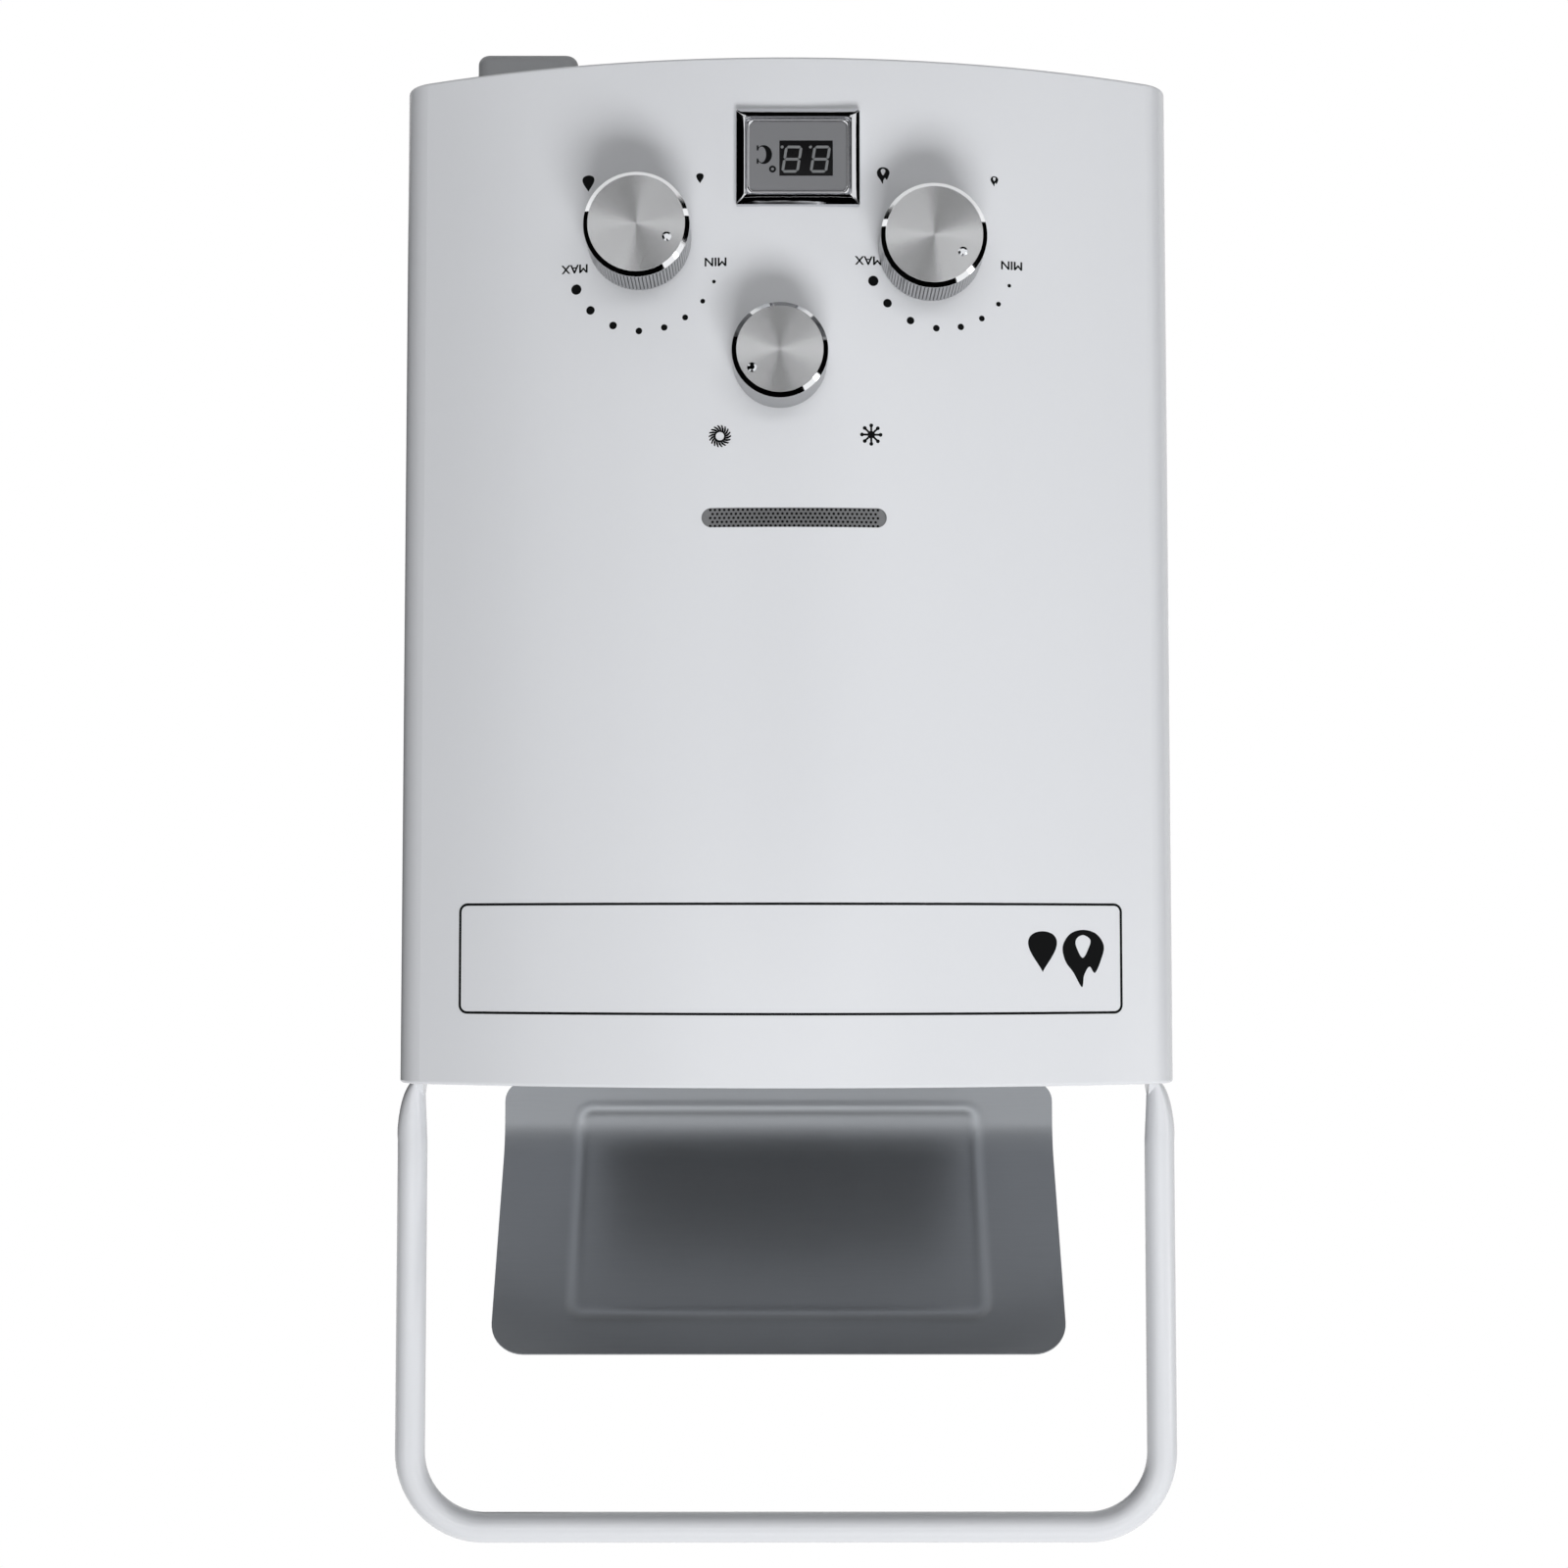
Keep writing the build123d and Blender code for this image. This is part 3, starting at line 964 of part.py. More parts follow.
LEVER_X = COLLAR_X - COLLAR_LENGTH / 2 - SIDE_CLEARANCE - LEVER_SHEET / 2
LEVER_PIVOT_HEIGHT = ROD_HEIGHT + LEVER_LENGTH
SWITCH_BASE = ROD_HEIGHT + SWITCH_RISE
SWITCH_FACE_X = GAS_VALVE_RIGHT + SWITCH_WIDTH
FORK_WIDTH = 2 * PUSH_ROD_RADIUS + 2 * SIDE_CLEARANCE
EAR_INNER = LEVER_WIDTH / 2 + SIDE_CLEARANCE
with BuildPart() as micro_switch:
    with BuildSketch(across(GAS_VALVE_RIGHT)):
        with Locations((-PUSH_ROD_DEPTH, SWITCH_BASE + SWITCH_HEIGHT / 2)):
            Rectangle(SWITCH_LENGTH, SWITCH_HEIGHT)
    extrude(amount=SWITCH_WIDTH)
    with BuildSketch(facing(PUSH_ROD_DEPTH + SWITCH_LENGTH / 2)):
        with BuildLine():
            Polyline((SWITCH_FACE_X, LEVER_PIVOT_HEIGHT - LEVER_HUB_RADIUS),
                     (LEVER_X, LEVER_PIVOT_HEIGHT - LEVER_HUB_RADIUS),
                     (LEVER_X, LEVER_PIVOT_HEIGHT + LEVER_HUB_RADIUS),
                     (SWITCH_FACE_X, LEVER_PIVOT_HEIGHT + LEVER_HUB_RADIUS), close=True)
        make_face()
        with Locations((LEVER_X, LEVER_PIVOT_HEIGHT)):
            Circle(LEVER_HUB_RADIUS)
    extrude(amount=-SWITCH_LENGTH)
    with BuildSketch(facing(PUSH_ROD_DEPTH)):
        with Locations((LEVER_X, LEVER_PIVOT_HEIGHT)):
            Rectangle(2 * (LEVER_X - SWITCH_FACE_X), 2 * (LEVER_HUB_RADIUS + CUT_MARGIN))
    extrude(amount=EAR_INNER, both=True, mode=Mode.SUBTRACT)
    extrude(disc(facing(PUSH_ROD_DEPTH), (LEVER_X, LEVER_PIVOT_HEIGHT), LEVER_PIN_RADIUS),
            amount=SWITCH_LENGTH / 2, both=True)
write(micro_switch.part, "micro_switch")

with BuildPart() as switch_lever:
    with BuildSketch(facing(PUSH_ROD_DEPTH)):
        with Locations((LEVER_X, LEVER_PIVOT_HEIGHT)):
            Circle(LEVER_HUB_RADIUS)
        with Locations((LEVER_X, LEVER_PIVOT_HEIGHT - (LEVER_LENGTH + COLLAR_RADIUS) / 2)):
            Rectangle(LEVER_SHEET, LEVER_LENGTH + COLLAR_RADIUS)
        with Locations((LEVER_X, LEVER_PIVOT_HEIGHT)):
            Circle(LEVER_PIN_RADIUS + RUNNING_FIT, mode=Mode.SUBTRACT)
    extrude(amount=LEVER_WIDTH / 2, both=True)
    with BuildSketch(across(LEVER_X)):
        with Locations((-PUSH_ROD_DEPTH, ROD_HEIGHT - COLLAR_RADIUS)):
            SlotCenterToCenter(2 * COLLAR_RADIUS, FORK_WIDTH, rotation=90)
    extrude(amount=LEVER_SHEET, both=True, mode=Mode.SUBTRACT)
write(switch_lever.part, "switch_lever")

# Selector valve between the gas valve and the manifold, turned by the season knob.
SEASON_LEFT_X = SEASON_KNOB[0] - SEASON_VALVE_WIDTH / 2
SEASON_RIGHT_X = SEASON_KNOB[0] + SEASON_VALVE_WIDTH / 2
SEASON_PIPE_DEPTH = VALVE_FRONT - SEASON_VALVE_LENGTH / 2
with BuildPart() as season_valve_body:
    with BuildSketch(facing(VALVE_FRONT)):
        with Locations(SEASON_KNOB):
            Rectangle(SEASON_VALVE_WIDTH, SEASON_VALVE_HEIGHT)
    extrude(amount=-SEASON_VALVE_LENGTH)
    fillet(season_valve_body.edges().filter_by(Axis.Y), SEASON_VALVE_CORNER)
    extrude(disc(facing(VALVE_FRONT), SEASON_KNOB, SEASON_BONNET_RADIUS), amount=BONNET_LENGTH)
    extrude(disc(facing(BONNET_FRONT), SEASON_KNOB, SPINDLE_RADIUS + RUNNING_FIT), amount=-GLAND_DEPTH,
            mode=Mode.SUBTRACT)
write(season_valve_body.part, "season_valve_body")


def pipe(name, points, radius, bend):
    """Solid-drawn pipe along a bent run; each point is (x, depth, height)."""
    with BuildPart() as run:
        with BuildLine() as route:
            FilletPolyline(*[(x, -depth, height - HANG_HEIGHT) for x, depth, height in points], radius=bend)
        with BuildSketch(Plane(origin=route.line @ 0, z_dir=route.line % 0)):
            Circle(radius)
        sweep()
    write(run.part, name)


GAS_VALVE_TOP = GAS_KNOB[1] + VALVE_HEIGHT / 2
pipe("gas_riser", ((GAS_KNOB[0], SEASON_PIPE_DEPTH, GAS_VALVE_TOP),
                   (GAS_KNOB[0], SEASON_PIPE_DEPTH, SEASON_KNOB[1]),
                   (SEASON_LEFT_X, SEASON_PIPE_DEPTH, SEASON_KNOB[1])), GAS_PIPE_RADIUS, GAS_PIPE_BEND)
pipe("gas_feed", ((SEASON_RIGHT_X, SEASON_PIPE_DEPTH, SEASON_KNOB[1]),
                  (GAS_FEED_X, SEASON_PIPE_DEPTH, SEASON_KNOB[1]),
                  (GAS_FEED_X, MANIFOLD_DEPTH, SEASON_KNOB[1]),
                  (GAS_FEED_X, MANIFOLD_DEPTH, MANIFOLD_HEIGHT - MANIFOLD_RADIUS - MANIFOLD_BOSS)),
     GAS_PIPE_RADIUS, GAS_PIPE_BEND)

# ================================================= burner and gas manifold
with BuildPart() as gas_manifold:
    with BuildSketch(across(FLUE_X)):
        with Locations((-MANIFOLD_DEPTH, MANIFOLD_HEIGHT)):
            Circle(MANIFOLD_RADIUS)
    extrude(amount=BURNER_SPAN / 2 + MANIFOLD_OVERHANG, both=True)
    with BuildSketch(facing(MANIFOLD_DEPTH)):
        with Locations((FLUE_X, MANIFOLD_HEIGHT)):
            with GridLocations(BURNER_PITCH, 0, BURNER_COUNT, 1):
                Circle(NOZZLE_RADIUS)
    extrude(amount=BURNER_FRONT + RACK_SHEET + NOZZLE_GAP - MANIFOLD_DEPTH)
    with BuildSketch(level(MANIFOLD_HEIGHT - MANIFOLD_RADIUS - MANIFOLD_BOSS)):
        with Locations((GAS_FEED_X, -MANIFOLD_DEPTH)):
            Circle(GAS_PIPE_RADIUS + MANIFOLD_BOSS)
    extrude(amount=MANIFOLD_RADIUS + MANIFOLD_BOSS)
write(gas_manifold.part, "gas_manifold")

with BuildPart() as burner_bars:
    with BuildSketch(facing(BURNER_BACK)):
        with Locations((FLUE_X, (BURNER_BOTTOM + BURNER_TOP) / 2)):
            with GridLocations(BURNER_PITCH, 0, BURNER_COUNT, 1):
                Trapezoid(BURNER_BAR_WIDTH, BURNER_HEIGHT, BURNER_SLOPE)
    extrude(amount=BURNER_FRONT - BURNER_BACK)
    with BuildSketch(facing(BURNER_FRONT)):
        with Locations((FLUE_X, MANIFOLD_HEIGHT)):
            with GridLocations(BURNER_PITCH, 0, BURNER_COUNT, 1):
                Circle(BURNER_THROAT_RADIUS)
    extrude(amount=BURNER_BACK - BURNER_FRONT + BURNER_BAR_WIDTH, mode=Mode.SUBTRACT)
write(burner_bars.part, "burner_bars")

RACK_BASE = BURNER_BOTTOM - RACK_SHEET
with BuildPart() as burner_rack:
    with BuildSketch(level(RACK_BASE)):
        with Locations((FLUE_X, -(BURNER_BACK + BURNER_FRONT) / 2)):
            Rectangle(CHAMBER_WIDTH, BURNER_FRONT - BURNER_BACK)
            with GridLocations(BURNER_PITCH, 0, BURNER_COUNT - 1, 1):
                Rectangle(BURNER_PITCH - BURNER_BAR_WIDTH, RACK_WINDOW, mode=Mode.SUBTRACT)
    extrude(amount=RACK_SHEET)
    with BuildSketch(facing(BURNER_FRONT)):
        with Locations((FLUE_X, (RACK_BASE + BURNER_TOP) / 2)):
            Rectangle(CHAMBER_WIDTH, BURNER_TOP - RACK_BASE)
        with Locations((FLUE_X, MANIFOLD_HEIGHT)):
            with GridLocations(BURNER_PITCH, 0, BURNER_COUNT, 1):
                Circle(BURNER_THROAT_RADIUS, mode=Mode.SUBTRACT)
    extrude(amount=RACK_SHEET)
    for sign in (-1, 1):
        with BuildSketch(across(FLUE_X + sign * CHAMBER_WIDTH / 2)):
            with Locations((-(BURNER_BACK + BURNER_FRONT) / 2, (RACK_BASE + CHAMBER_BOTTOM) / 2)):
                Rectangle(BURNER_FRONT - BURNER_BACK, CHAMBER_BOTTOM - RACK_BASE)
        extrude(amount=-sign * RACK_SHEET)
write(burner_rack.part, "burner_rack")

# ===================================== combustion chamber and heat exchanger
with BuildPart() as exchanger_jacket:
    with BuildSketch(level(CHAMBER_BOTTOM)):
        with Locations((FLUE_X, -CHAMBER_DEPTH)):
            Rectangle(CHAMBER_WIDTH, CHAMBER_LENGTH)
            Rectangle(CHAMBER_WIDTH - 2 * CHAMBER_SHEET, CHAMBER_LENGTH - 2 * CHAMBER_SHEET,
                      mode=Mode.SUBTRACT)
    extrude(amount=CHAMBER_TOP - CHAMBER_BOTTOM)
    with BuildSketch(across(FLUE_X)):
        with Locations((-CHAMBER_DEPTH, FIN_TUBE_HEIGHT)):
            with GridLocations(FIN_TUBE_PITCH, 0, FIN_TUBE_COUNT, 1):
                Circle(FIN_TUBE_RADIUS + SHEET_FIT)
    extrude(amount=CHAMBER_WIDTH, both=True, mode=Mode.SUBTRACT)
    with BuildSketch(facing(PANEL_SHEET)):
        with Locations((FLUE_X, (CHAMBER_BOTTOM + CHAMBER_TOP) / 2)):
            with GridLocations(CHAMBER_FOOT_SPACING_X, CHAMBER_FOOT_SPACING_Z, 2, 2):
                Rectangle(CHAMBER_FOOT_WIDTH, CHAMBER_FOOT_HEIGHT)
    extrude(amount=CHAMBER_BACK - PANEL_SHEET)
write(exchanger_jacket.part, "exchanger_jacket")

TUBE_LEFT_X = FLUE_X - CHAMBER_WIDTH / 2 - UNION_GAP
TUBE_RIGHT_X = FLUE_X + CHAMBER_WIDTH / 2 + UNION_GAP
TUBE_DEPTHS = [CHAMBER_DEPTH + FIN_TUBE_PITCH * step for step in (1, 0, -1)]
TURN_RADIUS = FIN_TUBE_PITCH / 2 - RUNNING_FIT
FIN_PITCH = (CHAMBER_WIDTH - 2 * CHAMBER_SHEET) / (FIN_COUNT + 1)
with BuildPart() as exchanger_core:
    with BuildLine(level(FIN_TUBE_HEIGHT)) as serpentine:
        FilletPolyline((TUBE_RIGHT_X, -TUBE_DEPTHS[0]), (TUBE_LEFT_X - TURN_RADIUS, -TUBE_DEPTHS[0]),
                       (TUBE_LEFT_X - TURN_RADIUS, -TUBE_DEPTHS[1]),
                       (TUBE_RIGHT_X + TURN_RADIUS, -TUBE_DEPTHS[1]),
                       (TUBE_RIGHT_X + TURN_RADIUS, -TUBE_DEPTHS[2]), (TUBE_LEFT_X, -TUBE_DEPTHS[2]),
                       radius=TURN_RADIUS)
    with BuildSketch(Plane(origin=serpentine.line @ 0, z_dir=serpentine.line % 0)):
        Circle(FIN_TUBE_RADIUS)
    sweep()
    for index in range(FIN_COUNT):
        with BuildSketch(across(FLUE_X + (index - (FIN_COUNT - 1) / 2) * FIN_PITCH)):
            with Locations((-CHAMBER_DEPTH, FIN_TUBE_HEIGHT)):
                Rectangle(CHAMBER_LENGTH - 2 * CHAMBER_SHEET - 2 * SHEET_FIT, FIN_HEIGHT)
        extrude(amount=FIN_SHEET)
write(exchanger_core.part, "exchanger_core")

with BuildPart() as flue_hood:
    with BuildSketch(level(CHAMBER_TOP)):
        with Locations((FLUE_X, -CHAMBER_DEPTH)):
            Rectangle(CHAMBER_WIDTH, CHAMBER_LENGTH)
    with BuildSketch(level(TOP_PANEL_BASE)):
        with Locations((FLUE_X, -FLUE_DEPTH)):
            Rectangle(HOOD_TOP_WIDTH, HOOD_TOP_LENGTH)
    loft()
    with BuildSketch(level(CHAMBER_TOP)):
        with Locations((FLUE_X, -CHAMBER_DEPTH)):
            Rectangle(CHAMBER_WIDTH - 2 * CHAMBER_SHEET, CHAMBER_LENGTH - 2 * CHAMBER_SHEET)
    with BuildSketch(level(TOP_PANEL_BASE)):
        with Locations((FLUE_X, -FLUE_DEPTH)):
            Rectangle(HOOD_TOP_WIDTH - 2 * CHAMBER_SHEET, HOOD_TOP_LENGTH - 2 * CHAMBER_SHEET)
    loft(mode=Mode.SUBTRACT)
write(flue_hood.part, "flue_hood")

# =========================================================== water pipework
pipe("cold_pipe", ((WATER_KNOB[0], PUSH_ROD_DEPTH, WATER_VALVE_TOP),
                   (WATER_KNOB[0], PUSH_ROD_DEPTH, WATER_VALVE_TOP + COLD_CROSSING),
                   (TUBE_RIGHT_X + RISER_OFFSET, TUBE_DEPTHS[0], WATER_VALVE_TOP + COLD_CROSSING),
                   (TUBE_RIGHT_X + RISER_OFFSET, TUBE_DEPTHS[0], FIN_TUBE_HEIGHT),
                   (TUBE_RIGHT_X, TUBE_DEPTHS[0], FIN_TUBE_HEIGHT)), PIPE_RADIUS, PIPE_BEND)
pipe("hot_pipe", ((HOT_STUB_X, STUB_DEPTH, HOT_STUB_TOP),
                  (HOT_STUB_X, STUB_DEPTH, HOT_STUB_TOP + HOT_OFFSET_LOW),
                  (TUBE_LEFT_X - RISER_OFFSET, TUBE_DEPTHS[2], HOT_STUB_TOP + HOT_OFFSET_HIGH),
                  (TUBE_LEFT_X - RISER_OFFSET, TUBE_DEPTHS[2], FIN_TUBE_HEIGHT),
                  (TUBE_LEFT_X, TUBE_DEPTHS[2], FIN_TUBE_HEIGHT)), PIPE_RADIUS, PIPE_BEND)

# ==================================================== ignition and sensors
IGNITER_LEFT_X = PANEL_SHEET + SIDE_CLEARANCE - INNER_HALF
IGNITER_RIGHT_X = TUBE_LEFT_X - RISER_OFFSET - PIPE_RADIUS - PIPE_CLEARANCE
with BuildPart() as igniter_box:
    with BuildSketch(facing(PANEL_SHEET)):
        with Locations(((IGNITER_LEFT_X + IGNITER_RIGHT_X) / 2, IGNITER_BASE + IGNITER_HEIGHT / 2)):
            Rectangle(IGNITER_RIGHT_X - IGNITER_LEFT_X, IGNITER_HEIGHT)
    extrude(amount=IGNITER_LENGTH)
    fillet(igniter_box.edges().filter_by(Axis.Y), IGNITER_CORNER)
write(igniter_box.part, "igniter_box")

CHAMBER_FRONT = CHAMBER_BACK + CHAMBER_LENGTH


def electrode(name, x):
    """Ceramic insulator on the chamber's front with a bent wire over the burner."""
    insulator_base = CHAMBER_BOTTOM + INSULATOR_RISE
    wire_height = BURNER_TOP + ELECTRODE_GAP
    insulator_depth = CHAMBER_FRONT + INSULATOR_RADIUS
    with BuildPart() as piece:
        with BuildSketch(level(insulator_base)):
            with Locations((x, -insulator_depth)):
                Circle(INSULATOR_RADIUS)
        extrude(amount=INSULATOR_LENGTH)
        with BuildLine(across(x)) as wire:
            FilletPolyline((-insulator_depth, insulator_base), (-insulator_depth, wire_height),
                           (ELECTRODE_REACH - insulator_depth, wire_height), radius=ELECTRODE_BEND)
        with BuildSketch(Plane(origin=wire.line @ 0, z_dir=wire.line % 0)):
            Circle(ELECTRODE_RADIUS)
        sweep()
    write(piece.part, name)


electrode("ignition_electrode", FLUE_X - ELECTRODE_SPREAD / 2)
electrode("flame_sensor", FLUE_X + ELECTRODE_SPREAD / 2)

with BuildPart() as overheat_thermostat:
    with BuildSketch(facing(CHAMBER_FRONT)):
        with Locations((FLUE_X, THERMOSTAT_HEIGHT)):
            Circle(THERMOSTAT_RADIUS)
    extrude(amount=THERMOSTAT_THICKNESS)
write(overheat_thermostat.part, "overheat_thermostat")
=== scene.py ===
"""Finishes, prints, threads and studio for a portable propane water heater.

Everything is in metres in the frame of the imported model: X to the right, Y into
the wall, Z up, the origin on the back face midway between the hanging holes.
Places on the heater are given in millimetres: x, depth in front of the wall, and
height above the bottom of the case.
"""

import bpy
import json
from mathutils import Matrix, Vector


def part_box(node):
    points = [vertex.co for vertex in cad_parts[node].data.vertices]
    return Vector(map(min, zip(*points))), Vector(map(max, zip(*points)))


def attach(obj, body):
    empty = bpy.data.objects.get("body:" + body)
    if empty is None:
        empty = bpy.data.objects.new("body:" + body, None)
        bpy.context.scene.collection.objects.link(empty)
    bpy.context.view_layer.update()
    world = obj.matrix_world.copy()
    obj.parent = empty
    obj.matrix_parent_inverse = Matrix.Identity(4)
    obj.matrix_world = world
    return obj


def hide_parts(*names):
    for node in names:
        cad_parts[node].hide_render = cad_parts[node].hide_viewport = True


bl_info = {
    "name": "Portable Water Heater",
    "version": (1, 0, 0),
    "blender": (4, 5, 0),
    "location": "View3D > Sidebar > Water Heater",
    "description": "Finishes, prints, threads and studio for a portable water heater",
    "category": "Object",
}

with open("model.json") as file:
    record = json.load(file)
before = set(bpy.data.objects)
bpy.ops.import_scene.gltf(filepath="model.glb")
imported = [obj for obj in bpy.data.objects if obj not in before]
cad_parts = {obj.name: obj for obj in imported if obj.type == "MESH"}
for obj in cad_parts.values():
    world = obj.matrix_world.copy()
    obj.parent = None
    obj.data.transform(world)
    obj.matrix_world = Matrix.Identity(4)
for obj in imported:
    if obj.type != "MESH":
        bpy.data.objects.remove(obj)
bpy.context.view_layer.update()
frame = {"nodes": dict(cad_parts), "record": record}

import json
from math import cos, hypot, pi, radians, sin, sqrt, tan

import bmesh
import bpy
from mathutils import Matrix, Vector

MM = 0.001
HANG_HEIGHT = 340.0
CASE_DEPTH = 130.0
FRONT_RADIUS = 330.0
INK_LIFT = 0.03
INK_THICKNESS = 0.04
WHITE = (1.0, 1.0, 1.0, 1.0)
SLOTS = {part["node"]: part["material_slot"] for part in frame["record"]["subparts"]}


# ------------------------------------------------------------------ places
def place(x, depth, height):
    """Point of the frame, in metres, for a place on the heater in millimetres."""
    return Vector((x * MM, -depth * MM, (height - HANG_HEIGHT) * MM))


def front_depth(x):
    """Depth of the bowed front skin at a sideways place x."""
    return sqrt(FRONT_RADIUS ** 2 - x ** 2) - (FRONT_RADIUS - CASE_DEPTH)


# ----------------------------------------------------------------- colours
def linear(code):
    """Linear RGBA of an sRGB hex value."""
    channels = [int(code[i:i + 2], 16) / 255 for i in (0, 2, 4)]
    return [c / 12.92 if c <= 0.04045 else ((c + 0.055) / 1.055) ** 2.4 for c in channels] + [1.0]


def shaded(colour, share):
    """The colour with that share of its light taken away."""
    return [c * (1 - share) for c in colour[:3]] + [1.0]


# --------------------------------------------------------------- materials
def add(tree, kind, settings=None):
    """Add one node; a setting is an input's value, the output linked to it, or an attribute."""
    node = tree.nodes.new(kind)
    for key, value in (settings or {}).items():
        if isinstance(value, bpy.types.NodeSocket):
            tree.links.new(value, node.inputs[key])
        elif isinstance(key, int) or key in node.inputs:
            node.inputs[key].default_value = value
        else:
            setattr(node, key, value)
    return node


def begin(name):
    """Empty node material and its tree."""
    material = bpy.data.materials.new(name)
    material.use_nodes = True
    material.node_tree.nodes.clear()
    return material, material.node_tree


def closed(material, tree, tint, gloss, height, relief, strength=1.0, **shader):
    """The material with its colour, its gloss and a relief in millimetres in one shader."""
    bump = add(tree, "ShaderNodeBump", {"Strength": strength, "Distance": relief * MM, "Height": height})
    surface = add(tree, "ShaderNodeBsdfPrincipled", {**shader, "Base Color": tint, "Roughness": gloss,
                                                     "Normal": bump.outputs[0]})
    add(tree, "ShaderNodeOutputMaterial", {"Surface": surface.outputs[0]})
    return material


def worked_surface(name, colour, depth, roughness, grain, relief, metallic=0.0, spread=0.04,
                   stretch=(1, 1, 1), patch=40.0, **shader):
    """One worked surface: a grain of the given size in millimetres that varies the
    colour by its depth, the gloss and the relief, over slow patches of handling."""
    material, tree = begin(name)
    where = add(tree, "ShaderNodeTexCoord").outputs["Object"]
    drawn = add(tree, "ShaderNodeMapping", {"Scale": stretch, "Vector": where})
    grains = add(tree, "ShaderNodeTexNoise", {"Scale": 1 / (grain * MM), "Detail": 3.0,
                                              "Vector": drawn.outputs["Vector"]})
    patches = add(tree, "ShaderNodeTexNoise", {"Scale": 1 / (patch * MM), "Detail": 3.0,
                                               "Vector": where})
    both = add(tree, "ShaderNodeMix", {"data_type": "FLOAT", 0: 0.45, 2: grains.outputs[0],
                                       3: patches.outputs[0]})
    tint = add(tree, "ShaderNodeMix", {"data_type": "RGBA", 0: both.outputs[0],
                                       6: shaded(colour, depth), 7: colour})
    gloss = add(tree, "ShaderNodeMapRange", {"Value": both.outputs[0], "To Min": roughness - spread,
                                             "To Max": roughness + spread})
    return closed(material, tree, tint.outputs[2], gloss.outputs[0], grains.outputs[0], relief,
                  Metallic=metallic, **shader)


def spangled_zinc(name, colour, spangle):
    """Hot-dip zinc: crystals of the given size in millimetres, each its own grey and gloss."""
    material, tree = begin(name)
    where = add(tree, "ShaderNodeTexCoord").outputs["Object"]
    crystals = add(tree, "ShaderNodeTexVoronoi", {"Scale": 1 / (spangle * MM), "Randomness": 1.0,
                                                  "Vector": where})
    share = add(tree, "ShaderNodeSeparateColor", {"Color": crystals.outputs["Color"]})
    tint = add(tree, "ShaderNodeMix", {"data_type": "RGBA", 0: share.outputs["Red"],
                                       6: shaded(colour, 0.16), 7: colour})
    gloss = add(tree, "ShaderNodeMapRange", {"Value": share.outputs["Green"], "To Min": 0.34,
                                             "To Max": 0.5})
    return closed(material, tree, tint.outputs[2], gloss.outputs[0], crystals.outputs["Distance"], 0.01,
                  Metallic=1.0)


def pressed_stainless(name, colour):
    """Rolled stainless sheet: a dull grain drawn out along the roll, handled before it was
    fitted, and lighter along the pressed bead where the mesh says so, a painted highlight."""
    material, tree = begin(name)
    where = add(tree, "ShaderNodeTexCoord").outputs["Object"]
    rolled = add(tree, "ShaderNodeMapping", {"Scale": (0.04, 1, 1), "Vector": where})
    grains = add(tree, "ShaderNodeTexNoise", {"Scale": 1 / (0.7 * MM), "Detail": 3.0,
                                              "Vector": rolled.outputs["Vector"]})
    hands = add(tree, "ShaderNodeTexNoise", {"Scale": 1 / (45.0 * MM), "Detail": 4.0,
                                             "Vector": where})
    both = add(tree, "ShaderNodeMix", {"data_type": "FLOAT", 0: 0.6, 2: grains.outputs[0],
                                       3: hands.outputs[0]})
    sheet = add(tree, "ShaderNodeMix", {"data_type": "RGBA", 0: both.outputs[0],
                                        6: shaded(colour, 0.16), 7: colour})
    # Painted highlight: the sheet is made lighter where the mesh marks the pressed bead.
    pressed = add(tree, "ShaderNodeAttribute", {"attribute_name": "burnish"})
    tint = add(tree, "ShaderNodeMix", {"data_type": "RGBA", 0: pressed.outputs["Fac"],
                                       6: sheet.outputs[2], 7: shaded(colour, -0.2)})
    gloss = add(tree, "ShaderNodeMapRange", {"Value": both.outputs[0], "To Min": 0.32,
                                             "To Max": 0.42})
    return closed(material, tree, tint.outputs[2], gloss.outputs[0], grains.outputs[0], 0.0015,
                  Metallic=1.0)


def spun_aluminium(name, colour):
    """Aluminium faced on a lathe: fine rings whose gloss fans out from the centre in
    bright and dark wedges. The rings are 0.3 mm apart, coarser than a lathe's, to show."""
    material, tree = begin(name)
    across = add(tree, "ShaderNodeTexCoord").outputs["Generated"]
    centred = add(tree, "ShaderNodeMapping", {"Location": (-0.5, -0.5, -0.5), "Vector": across})
    rings = add(tree, "ShaderNodeTexWave", {
        "wave_type": "RINGS", "rings_direction": "Y", "Scale": 36.0, "Distortion": 1.5,
        "Detail": 2.0, "Vector": centred.outputs["Vector"]})
    tint = add(tree, "ShaderNodeMix", {"data_type": "RGBA", 0: rings.outputs["Fac"],
                                       6: shaded(colour, 0.12), 7: colour})
    around = add(tree, "ShaderNodeTangent", {"direction_type": "RADIAL", "axis": "Y"})
    fan = {"Anisotropic": 0.9, "Anisotropic Rotation": 0.25, "Tangent": around.outputs[0]}
    return closed(material, tree, tint.outputs[2], 0.27, rings.outputs["Fac"], 0.004, strength=0.4,
                  Metallic=1.0, **fan)


